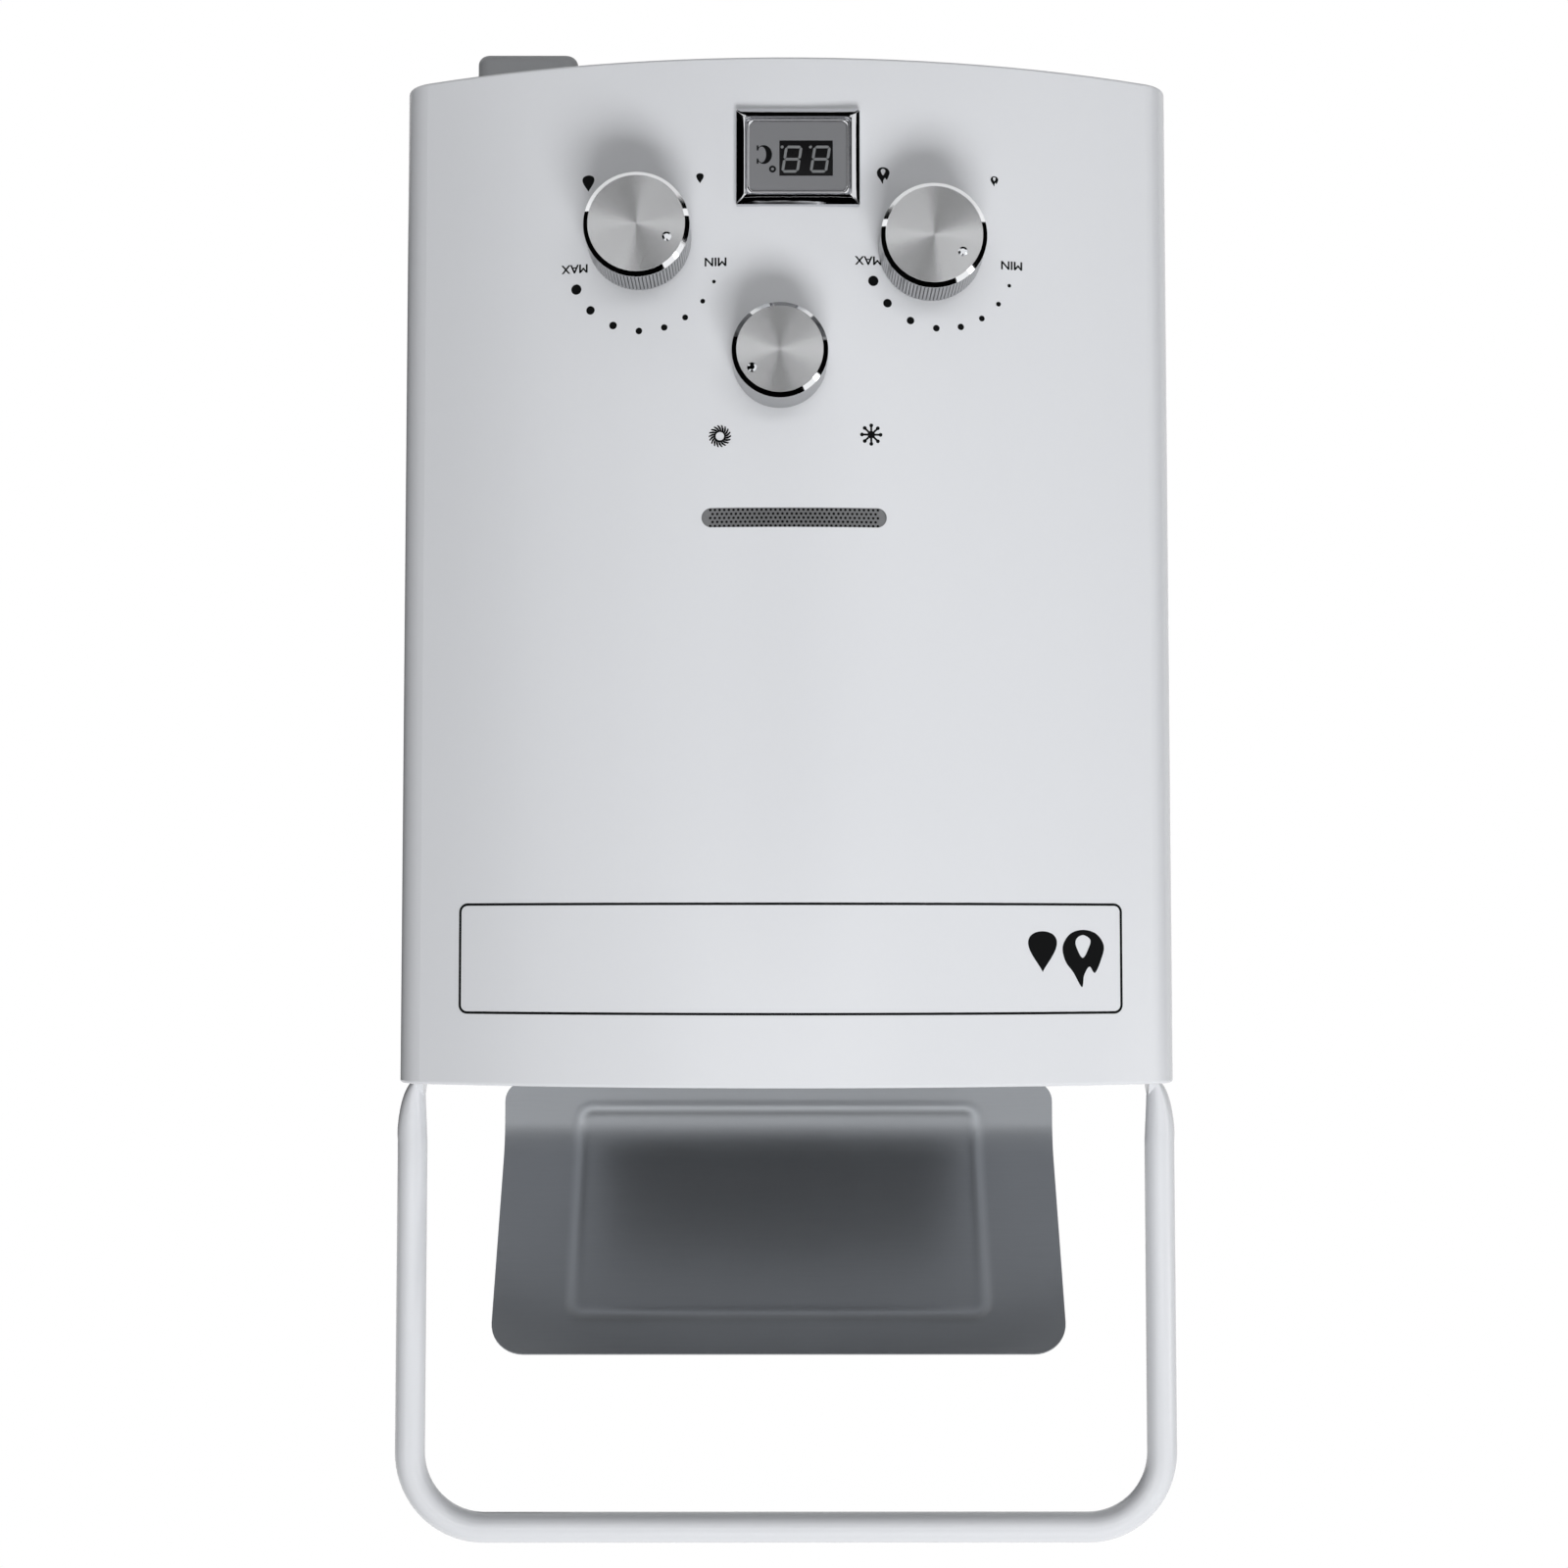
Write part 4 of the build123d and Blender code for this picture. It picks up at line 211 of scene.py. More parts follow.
def turned_knob(name, colour, polished_front, axis, radius, groove):
    """Aluminium turned on a lathe: a satin side, with painted shade down in its knurled grooves, and
    a diamond-cut bevel, bright as a mirror, in front of the given depth."""
    material, tree = begin(name)
    where = add(tree, "ShaderNodeTexCoord").outputs["Object"]
    depth = add(tree, "ShaderNodeSeparateXYZ", {0: where}).outputs["Y"]
    cut = add(tree, "ShaderNodeMath", {"operation": "LESS_THAN", 0: depth, 1: -polished_front * MM})
    along = add(tree, "ShaderNodeMath", {"operation": "MULTIPLY", 0: depth, 1: 1 / (0.25 * MM)})
    lines = add(tree, "ShaderNodeTexNoise", {"noise_dimensions": "1D", "Detail": 2.0,
                                             "W": along.outputs[0]})
    outward = add(tree, "ShaderNodeVectorMath", {"operation": "MULTIPLY_ADD", 0: where, 1: (1, 0, 1),
                                                 2: (-axis.x, 0, -axis.z)})
    reach = add(tree, "ShaderNodeVectorMath", {"operation": "LENGTH", 0: outward.outputs[0]})
    # Painted shade: the side's colour darkens from the knurls' crests down into their grooves, by the
    # distance from the knob's axis.
    ridge = add(tree, "ShaderNodeMapRange", {
        "Value": reach.outputs["Value"], "From Min": radius - groove * MM, "From Max": radius,
        "To Min": 0.15, "To Max": 1.0})
    side = add(tree, "ShaderNodeMix", {"data_type": "RGBA", 0: ridge.outputs[0],
                                       6: shaded(colour, 0.95), 7: shaded(colour, 0.48)})
    satin = add(tree, "ShaderNodeMapRange", {"Value": lines.outputs[0], "To Min": 0.26,
                                             "To Max": 0.38})
    gloss = add(tree, "ShaderNodeMix", {"data_type": "FLOAT", 0: cut.outputs[0],
                                        2: satin.outputs[0], 3: 0.05})
    tint = add(tree, "ShaderNodeMix", {"data_type": "RGBA", 0: cut.outputs[0], 6: side.outputs[2],
                                       7: colour})
    return closed(material, tree, tint.outputs[2], gloss.outputs[0], lines.outputs[0], 0.003,
                  strength=0.3, Metallic=1.0)


def seen_directly(tree):
    """1 for what the eye sees straight, mirrored or through glass, 0 for other light."""
    path = add(tree, "ShaderNodeLightPath")
    seen = add(tree, "ShaderNodeMath", {"operation": "ADD", 0: path.outputs["Is Camera Ray"],
                                        1: path.outputs["Is Glossy Ray"]})
    return add(tree, "ShaderNodeMath", {"operation": "ADD", "use_clamp": True, 0: seen.outputs[0],
                                        1: path.outputs["Is Transmission Ray"]}).outputs[0]


def matt_paper(name, code, near, far):
    """Studio paper that keeps the shadow near the heater and fades to plain white
    background between the two distances."""
    material, tree = begin(name)
    where = add(tree, "ShaderNodeTexCoord").outputs["Object"]
    away = add(tree, "ShaderNodeVectorMath", {"operation": "LENGTH", 0: where})
    fade = add(tree, "ShaderNodeMapRange", {
        "Value": away.outputs["Value"], "From Min": near, "From Max": far, "To Min": 0.72,
        "To Max": 1.0})
    share = add(tree, "ShaderNodeMath", {"operation": "MULTIPLY", 0: seen_directly(tree),
                                         1: fade.outputs[0]})
    paper = add(tree, "ShaderNodeBsdfDiffuse", {"Color": linear(code)})
    white = add(tree, "ShaderNodeEmission", {"Color": WHITE, "Strength": 1.0})
    mixed = add(tree, "ShaderNodeMixShader", {0: share.outputs[0], 1: paper.outputs[0],
                                              2: white.outputs[0]})
    add(tree, "ShaderNodeOutputMaterial", {"Surface": mixed.outputs[0]})
    return material


# Worked surfaces by slot: the material's name, its colour, how far the grain darkens it, its
# roughness, its grain and relief in millimetres, and what sets it apart. A grain finer than
# 0.3 mm wouldn't show, and is drawn as coarse as it needs to.
WORKED = {
    # Powder-coated steel, sprayed and baked: cool white and glossy, with a faint orange peel.
    "white_enamel_steel": ("powder_coated_steel", "coat", 0.02, 0.25, 1.6, 0.006,
                           {"spread": 0.02, "patch": 70.0}),
    # The same powder on drawn tube, a little glossier where it flowed round.
    "white_tube": ("powder_coated_tube", "coat", 0.02, 0.2, 1.4, 0.006, {"spread": 0.02}),
    # Bright-dipped perforated steel strip, dulled by the heat behind it.
    "perforated_strip": ("perforated_steel_strip", "919294", 0.25, 0.38, 0.5, 0.002, {"metallic": 1.0}),
    # Mica sheet: nearly black, painted shade of the dark chamber behind the viewport, with the silk of
    # its cleaved layers.
    "smoked_mica": ("smoked_mica", "050505", 0.4, 0.3, 5.0, 0.003, {"Specular IOR Level": 0.15}),
    # Zinc-plated screws: blueish silver with a fine plated grain.
    "zinc_screws": ("zinc_plated_steel", "B8BABB", 0.2, 0.32, 0.35, 0.002, {"metallic": 1.0}),
    # Moulded nylon: milky white, half matt.
    "nylon": ("moulded_nylon", "E2E1DC", 0.06, 0.5, 0.5, 0.003, {}),
    # Steel bar, ground and oiled: grey, with fine lines along it.
    "spindle_steel": ("ground_steel", "B0B0B0", 0.25, 0.28, 0.3, 0.001,
                      {"metallic": 1.0, "stretch": (1, 0.05, 1)}),
    # Chromium plate over a moulding: a mirror with the faint waves of the plastic below.
    "chrome": ("chromium_plate", "D9DADD", 0.04, 0.05, 5.0, 0.03, {"metallic": 1.0, "spread": 0.02}),
    # Printed film over the display panel: neutral grey, satin.
    "grey_fascia": ("printed_film", "film", 0.05, 0.42, 0.4, 0.001, {"spread": 0.03}),
    # Black ABS moulded in a finely sparked tool: soft black, half matt.
    "black_plastic": ("moulded_black_abs", "1C1D1F", 0.2, 0.34, 0.4, 0.004, {}),
    # Grey ABS moulded in a finely sparked tool: even grey, half matt.
    "grey_abs": ("moulded_grey_abs", "battery_box", 0.08, 0.46, 0.45, 0.006, {}),
    # Spring steel with nickel plate, slightly yellow.
    "nickel_contacts": ("nickel_plate", "BDB8AE", 0.2, 0.25, 0.4, 0.001, {"metallic": 1.0}),
    # Brass turned from bar: yellow, with faint cutter lines round it.
    "brass": ("turned_brass", "CDAA63", 0.2, 0.26, 0.3, 0.002,
              {"metallic": 1.0, "stretch": (0.1, 0.1, 1)}),
    # Aluminium die casting: dull grey with a sandy skin.
    "die_cast_aluminium": ("die_cast_aluminium", "A5A7A9", 0.2, 0.48, 0.6, 0.01, {"metallic": 1.0}),
    # Drawn copper, browned by handling and heat.
    "copper": ("drawn_copper", "C47D55", 0.3, 0.3, 0.8, 0.002, {"metallic": 1.0, "stretch": (1, 1, 0.1)}),
    # Aluminised steel sheet: soft silver grey.
    "aluminised_steel": ("aluminised_steel", "A2A4A6", 0.15, 0.4, 1.2, 0.002, {"metallic": 1.0}),
    # Fired alumina: chalk white with a faint glaze.
    "ceramic": ("fired_alumina", "EBE8E0", 0.06, 0.38, 0.5, 0.002, {}),
    # Foil-backed cut glass: each facet a small mirror under a clear face.
    "crystal": ("foil_backed_glass", "E4E6EA", 0.1, 0.05, 0.4, 0.0005, {"metallic": 1.0, "spread": 0.02}),
    # Screen-printed ink: near black and dry.
    "ink": ("screen_printed_ink", "ink", 0.3, 0.6, 0.3, 0.002, {"Specular IOR Level": 0.1}),
    # Tinted epoxy over the digits: deep black and glossy.
    "window": ("tinted_epoxy", "0C0C0E", 0.3, 0.14, 0.8, 0.001, {"spread": 0.03}),
    # Unlit digit segments: milky epoxy light pipes.
    "segment": ("milky_epoxy", "7E8082", 0.15, 0.3, 0.3, 0.002, {}),
    # Black velvet over a frame, to be mirrored in bright metal.
    "velvet": ("black_velvet", "060606", 0.3, 0.9, 2.0, 0.1, {"Specular IOR Level": 0.0}),
}
MADE = {}


def finish(name):
    """The finish of that name, made once."""
    if name not in MADE:
        colours = bpy.context.scene.heater_colours
        if name == "galvanised_steel":
            # Hot-dip galvanised sheet: pale grey with soft spangles.
            MADE[name] = spangled_zinc("galvanised_sheet", linear("B4B6B8"), 7.0)
        elif name == "stainless_sheet":
            # Rolled stainless sheet: soft grey, its dull grain drawn out along the roll.
            MADE[name] = pressed_stainless("rolled_stainless_sheet", colours.deflector)
        elif name == "spun_face":
            # Lathe-faced aluminium: fine rings, and wedges of light round their centre.
            MADE[name] = spun_aluminium("spun_aluminium", colours.knobs)
        else:
            title, colour, *numbers, extra = WORKED[name]
            colour = getattr(colours, colour) if hasattr(colours, colour) else linear(colour)
            MADE[name] = worked_surface(title, colour, *numbers, **extra)
    return MADE[name]


def cover(node, material):
    """Give one carried-over solid that material."""
    materials = frame["nodes"][node].data.materials
    materials.clear()
    materials.append(material)


def dress(*nodes):
    """Give carried-over solids the finish of their own slot."""
    for node in nodes:
        cover(node, finish(SLOTS[node]))


# ------------------------------------------------------------------ meshes
def linked(name, data):
    """New object of that data, in the scene."""
    obj = bpy.data.objects.new(name, data)
    bpy.context.scene.collection.objects.link(obj)
    return obj


def mesh_piece(name, points, faces, body, slot, material, smooth_angle=None):
    """New piece from points in metres and faces, on its body and in its finish."""
    mesh = bpy.data.meshes.new(name)
    mesh.from_pydata([tuple(p) for p in points], [], faces)
    mesh.validate()
    sheet = bmesh.new()
    sheet.from_mesh(mesh)
    bmesh.ops.recalc_face_normals(sheet, faces=sheet.faces)
    sheet.to_mesh(mesh)
    sheet.free()
    if smooth_angle is not None:
        mesh.shade_smooth()
        mesh.set_sharp_from_angle(angle=radians(smooth_angle))
    mesh.materials.append(finish(material))
    piece = linked(name, mesh)
    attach(piece, body)
    return piece


def tube(rings, closed=False):
    """Points and faces through rings of equal counts, closed on itself or with flat ends."""
    count = len(rings[0])
    points = [p for ring in rings for p in ring]
    faces = []
    if not closed:
        faces = [tuple(range(count)), tuple(range(len(points) - 1, len(points) - count - 1, -1))]
    for row in range(len(rings) if closed else len(rings) - 1):
        above = (row + 1) % len(rings)
        for i in range(count):
            j = (i + 1) % count
            faces.append((row * count + i, row * count + j, above * count + j, above * count + i))
    return points, faces


def circle(x, y, radius, count=24):
    """Closed loop round a circle."""
    turns = [2 * pi * i / count for i in range(count)]
    return [(x + radius * cos(turn), y + radius * sin(turn)) for turn in turns]


def rounded_box(x, y, width, height, radius, along=1, arc=6):
    """Closed loop round a rectangle with rounded corners, each side in that many steps."""
    corners = []
    for turn, (sx, sy) in enumerate(((1, 1), (-1, 1), (-1, -1), (1, -1))):
        cx, cy = x + sx * (width / 2 - radius), y + sy * (height / 2 - radius)
        angles = [turn * pi / 2 + pi / 2 * i / arc for i in range(arc + 1)]
        corners.append([(cx + radius * cos(a), cy + radius * sin(a)) for a in angles])
    loop = []
    for corner, following in zip(corners, corners[1:] + corners[:1]):
        loop += corner
        (ax, ay), (bx, by) = corner[-1], following[0]
        loop += [(ax + (bx - ax) * i / along, ay + (by - ay) * i / along) for i in range(1, along)]
    return loop


def stroke(ax, ay, bx, by, width, end_width=None):
    """Closed loop of a straight stroke, which may widen towards its end."""
    length = hypot(bx - ax, by - ay)
    nx, ny = -(by - ay) / length / 2, (bx - ax) / length / 2
    end = width if end_width is None else end_width
    return [(ax + nx * width, ay + ny * width), (ax - nx * width, ay - ny * width),
            (bx - nx * end, by - ny * end), (bx + nx * end, by + ny * end)]


def filled(loops, thickness=INK_THICKNESS):
    """Points and faces of a flat shape bounded by closed loops, holes inside its outline."""
    curve = bpy.data.curves.new("outline", "CURVE")
    curve.dimensions = "2D"
    curve.fill_mode = "BOTH"
    curve.extrude = thickness / 2
    for loop in loops:
        spline = curve.splines.new("POLY")
        spline.points.add(len(loop) - 1)
        spline.use_cyclic_u = True
        for point, (x, y) in zip(spline.points, loop):
            point.co = (x, y, 0, 1)
    return read_curve(curve)


def lettered(text, cap_height, x, y, weight):
    """Word centred on a place, its capitals at their height, printed twice a little apart
    for its weight: a list of shapes."""
    curve = bpy.data.curves.new("word", "FONT")
    curve.body = text
    curve.extrude = INK_THICKNESS / 2
    curve.resolution_u = 6
    points, faces = read_curve(curve)
    low = [min(p[i] for p in points) for i in (0, 1)]
    high = [max(p[i] for p in points) for i in (0, 1)]
    scale = cap_height / (high[1] - low[1])
    middle_x, middle_y = [(a + b) / 2 for a, b in zip(low, high)]
    shapes = []
    for shift in (-weight / 2, weight / 2):
        left, up = x + shift - middle_x * scale, y - middle_y * scale
        shapes.append(([(px * scale + left, py * scale + up, t) for px, py, t in points], faces))
    return shapes


def read_curve(curve):
    """Points and faces of a filled curve, which is then removed."""
    holder = linked("outline", curve)
    shape = holder.evaluated_get(bpy.context.evaluated_depsgraph_get())
    mesh = bpy.data.meshes.new_from_object(shape)
    points = [tuple(v.co) for v in mesh.vertices]
    faces = [tuple(p.vertices) for p in mesh.polygons]
    bpy.data.objects.remove(holder)
    bpy.data.curves.remove(curve)
    bpy.data.meshes.remove(mesh)
    return points, faces


def sliced(points, faces, step=3.0):
    """The same shape, its faces cut at even places x so that it can follow the bowed skin."""
    sheet = bmesh.new()
    corners = [sheet.verts.new(p) for p in points]
    for face in faces:
        sheet.faces.new([corners[i] for i in face])
    low, high = min(p[0] for p in points), max(p[0] for p in points)
    for i in range(int(low / step), int(high / step) + 1):
        bmesh.ops.bisect_plane(sheet, geom=sheet.verts[:] + sheet.edges[:] + sheet.faces[:], dist=0.0001,
                               plane_co=(i * step, 0, 0), plane_no=(1, 0, 0))
    sheet.verts.index_update()
    cut = [tuple(v.co) for v in sheet.verts], [tuple(v.index for v in f.verts) for f in sheet.faces]
    sheet.free()
    return cut


def gather(shapes):
    """One list of points and one of faces from several shapes."""
    points, faces = [], []
    for shape_points, shape_faces in shapes:
        start = len(points)
        points += shape_points
        faces += [tuple(i + start for i in face) for face in shape_faces]
    return points, faces


def printed(name, shapes, slot, material, depth_at=front_depth, lift=INK_LIFT):
    """Thin marks laid on the case; the shapes are drawn in x and height, in millimetres."""
    points, faces = sliced(*gather(shapes))
    laid = [place(x, depth_at(x) + lift + t, height) for x, height, t in points]
    return mesh_piece(name, laid, faces, "case", slot, material)


# ---------------------------------------------------------------- settings
def colour_setting(name, description, code):
    """Colour property with an sRGB hex default."""
    return bpy.props.FloatVectorProperty(name=name, description=description, subtype="COLOR", size=4,
                                         min=0.0, max=1.0, default=linear(code))


def length_setting(name, description, millimetres):
    """Length property with its default in millimetres."""
    return bpy.props.FloatProperty(name=name, description=description, unit="LENGTH", precision=5,
                                   default=millimetres * MM)


class HeaterColours(bpy.types.PropertyGroup):
    """Colours that a user would change"""
    coat: colour_setting("Coat", "Powder coat of the case and the handle", "E2E4E8")
    deflector: colour_setting("Deflector", "Sheet of the flue deflector", "94979B")
    knobs: colour_setting("Knobs", "Aluminium of the knobs", "EEEFF1")
    ink: colour_setting("Ink", "Printed marks on the front", "0B0C0D")
    film: colour_setting("Film", "Film round the display window", "7B7C7F")
    battery_box: colour_setting("Battery box", "Moulding of the battery box and its lid", "B4B6B9")


class HeaterSizes(bpy.types.PropertyGroup):
    """Sizes of the prints, the bead, the bezel and the threads"""
    dot_small: length_setting("Smallest dot", "Diameter of a dial's first dot", 1.35)
    dot_large: length_setting("Largest dot", "Diameter of a dial's last dot", 3.8)
    cap_height: length_setting("Cap height", "Height of the printed capitals", 3.2)
    frame_line: length_setting("Frame line", "Width of the line round the upper panel", 0.9)
    bead_height: length_setting("Bead height", "Height of the bead pressed in the deflector", 0.4)
    bead_width: length_setting("Bead width", "Width of the bead pressed in the deflector", 7.5)
    bend_radius: length_setting("Bend radius", "Bend between the deflector's flange and hood", 28.0)
    thread_pitch: length_setting("Thread pitch", "Pitch of the pipe threads", 1.814)
    thread_depth: length_setting("Thread depth", "Depth of the pipe threads", 1.16)


# --------------------------------------------------------------- operators
class HEATER_OT_casing(bpy.types.Operator):
    """Bowed front cover, top and bottom panels and back plate"""
    bl_idname = "heater.casing"
    bl_label = "Casing"

    def execute(self, context):
        dress("front_cover", "top_panel", "bottom_plate", "back_plate")
        dress(*[node for node in SLOTS if "_screw_" in node])
        return {"FINISHED"}


class HEATER_OT_handle(bpy.types.Operator):
    """Carry handle with its pivot bolts and spacers"""
    bl_idname = "heater.handle"
    bl_label = "Handle"

    def execute(self, context):
        dress("handle_tube", "handle_bolt_left", "handle_bolt_right", "handle_spacer_left",
              "handle_spacer_right")
        return {"FINISHED"}


class HEATER_OT_deflector(bpy.types.Operator):
    """Pressed flue deflector: foot, flange, bend and hood, with a bead pressed round them"""
    bl_idname = "heater.deflector"
    bl_label = "Deflector"

    centre_x, width, thickness = 3.0, 222.0, 1.0
    back, foot_height, bend_height, hood_length, lean = 8.0, 382.0, 406.5, 93.0, radians(34)
    foot_corner, tip_corner, corner_steps = 8.0, 13.0, 10
    foot_seat, foot_reach, foot_width, foot_bend = 377.2, 24.0, 150.0, 2.5
    bead_above_foot, bead_below_tip, bead_from_side, bead_corner = 7.0, 13.0, 27.0, 5.0
    columns, row_pitch = 180, 1.2

    def execute(self, context):
        sizes = context.scene.heater_sizes
        radius, bead_height, bead_width = (value / MM for value in (
            sizes.bend_radius, sizes.bead_height, sizes.bead_width))
        tangent = radius * tan(self.lean / 2)
        flange = self.bend_height - self.foot_height - tangent
        arc = radius * self.lean
        length = flange + arc + self.hood_length - tangent

        def section(s):
            """Place on the back face at a length s along the sheet, and its forward normal."""
            turn = min(max(s - flange, 0.0), arc) / radius
            depth = self.back + radius * (1 - cos(turn)) + max(0.0, s - flange - arc) * sin(self.lean)
            height = (self.foot_height + min(s, flange) + radius * sin(turn)
                      + max(0.0, s - flange - arc) * cos(self.lean))
            return depth, height, cos(turn), -sin(turn)

        def bead(x, s):
            """Share of the bead's height, a rounded wave on a rounded rectangle."""
            low = self.bead_above_foot + bead_width / 2
            high = length - self.bead_below_tip - bead_width / 2
            corner = self.bead_corner
            half_x, half_s = self.width / 2 - self.bead_from_side - bead_width / 2, (high - low) / 2
            qx, qs = abs(x) - half_x + corner, abs(s - (low + high) / 2) - half_s + corner
            away = min(max(qx, qs), 0.0) + hypot(max(qx, 0.0), max(qs, 0.0)) - corner
            return (1 + cos(2 * pi * away / bead_width)) / 2 if abs(away) <= bead_width / 2 else 0.0

        rings, bead_and_highlight_shares = [], []
        for s, inset in self.rows(length):
            depth, height, forward, upward = section(s)
            front = [(i, self.thickness) for i in range(self.columns + 1)]
            ring = []
            for i, lift in front + [(i, 0.0) for i, _ in reversed(front)]:
                x = (2 * i / self.columns - 1) * (self.width / 2 - inset)
                bead_and_highlight_shares.append(bead(x, s))
                out = lift + bead_height * bead_and_highlight_shares[-1]
                ring.append(place(self.centre_x + x, depth + forward * out, height + upward * out))
            rings.append(ring)
        shape = gather([tube(rings), self.foot()])
        piece = mesh_piece("deflector_pressing", *shape, "case", "stainless_sheet", "stainless_sheet", 40)
        # The bead's share is kept on the mesh for the painted highlight along the bead.
        burnish = piece.data.attributes.new("burnish", "FLOAT", "POINT")
        for i, share in enumerate(bead_and_highlight_shares):
            burnish.data[i].value = share
        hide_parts("flue_deflector")
        return {"FINISHED"}

    def rows(self, length):
        """Each row's place along the sheet, and its inset at the rounded corners."""
        turns = [pi / 2 * i / self.corner_steps for i in range(self.corner_steps + 1)]
        foot, tip = [[(corner * (1 - cos(t)), corner * (1 - sin(t))) for t in turns]
                     for corner in (self.foot_corner, self.tip_corner)]
        low, high = self.foot_corner, length - self.tip_corner
        count = int((high - low) / self.row_pitch)
        middle = [(low + (high - low) * i / count, 0.0) for i in range(1, count)]
        return foot + middle + [(length - s, inset) for s, inset in reversed(tip)]

    def foot(self):
        """Foot on the top panel, bent up into the flange."""
        outer, inner = self.foot_bend, self.foot_bend - self.thickness
        turn = [pi / 2 * i / 6 for i in range(7)]
        low, high, back = self.foot_seat, self.foot_height, self.back
        outline = [(self.foot_reach, low)]
        outline += [(back + outer - outer * sin(t), low + outer - outer * cos(t)) for t in turn]
        outline += [(back, high), (back + self.thickness, high)]
        outline += [(back + outer - inner * cos(t), low + outer - inner * sin(t)) for t in turn]
        outline += [(self.foot_reach, low + self.thickness)]
        sides = (self.centre_x - self.foot_width / 2, self.centre_x + self.foot_width / 2)
        return tube([[place(x, depth, height) for depth, height in outline] for x in sides])


class HEATER_OT_knobs(bpy.types.Operator):
    """Turned and spun faces of the three knobs, with their cut stones"""
    bl_idname = "heater.knobs"
    bl_label = "Knobs"

    bevel, knurl_depth = 1.7, 0.35
    stone_facets, stone_crown, stone_table = 16, 0.45, 0.55

    def execute(self, context):
        colour = context.scene.heater_colours.knobs
        for knob in ("gas", "water", "season"):
            low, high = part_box(f"{knob}_knob")
            bevel_start = -low.y / MM - self.bevel
            turned = turned_knob(f"turned_aluminium_{knob}", colour, bevel_start, (low + high) / 2,
                                 (high.x - low.x) / 2, self.knurl_depth)
            cover(f"{knob}_knob", turned)
            cover(f"{knob}_knob_face", finish("spun_face"))
            dress(f"{knob}_spindle")
            self.cut_stone(knob)
        return {"FINISHED"}

    def cut_stone(self, knob):
        """Brilliant cut: a table, a ring of crown facets and the girdle."""
        low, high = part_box(f"{knob}_knob_stone")
        centre, radius, count = (low + high) / 2, (high.x - low.x) / 2, self.stone_facets
        points, faces = [], []
        for y, ring, turn in ((high.y, radius, 0.0), (low.y + self.stone_crown * MM, radius, 0.0),
                              (low.y, radius * self.stone_table, 0.5)):
            for i in range(count):
                angle = 2 * pi * (i + turn) / count
                points.append((centre.x + ring * cos(angle), y, centre.z + ring * sin(angle)))
        for i in range(count):
            j = (i + 1) % count
            faces.append((i, j, count + j, count + i))
            faces.append((count + i, count + j, 2 * count + i))
            faces.append((count + j, 2 * count + j, 2 * count + i))
        faces.append(tuple(range(count))[::-1])
        faces.append(tuple(range(2 * count, 3 * count)))
        stone = mesh_piece(f"{knob}_cut_stone", points, faces, f"{knob}_knob", "crystal", "crystal")
        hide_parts(f"{knob}_knob_stone")


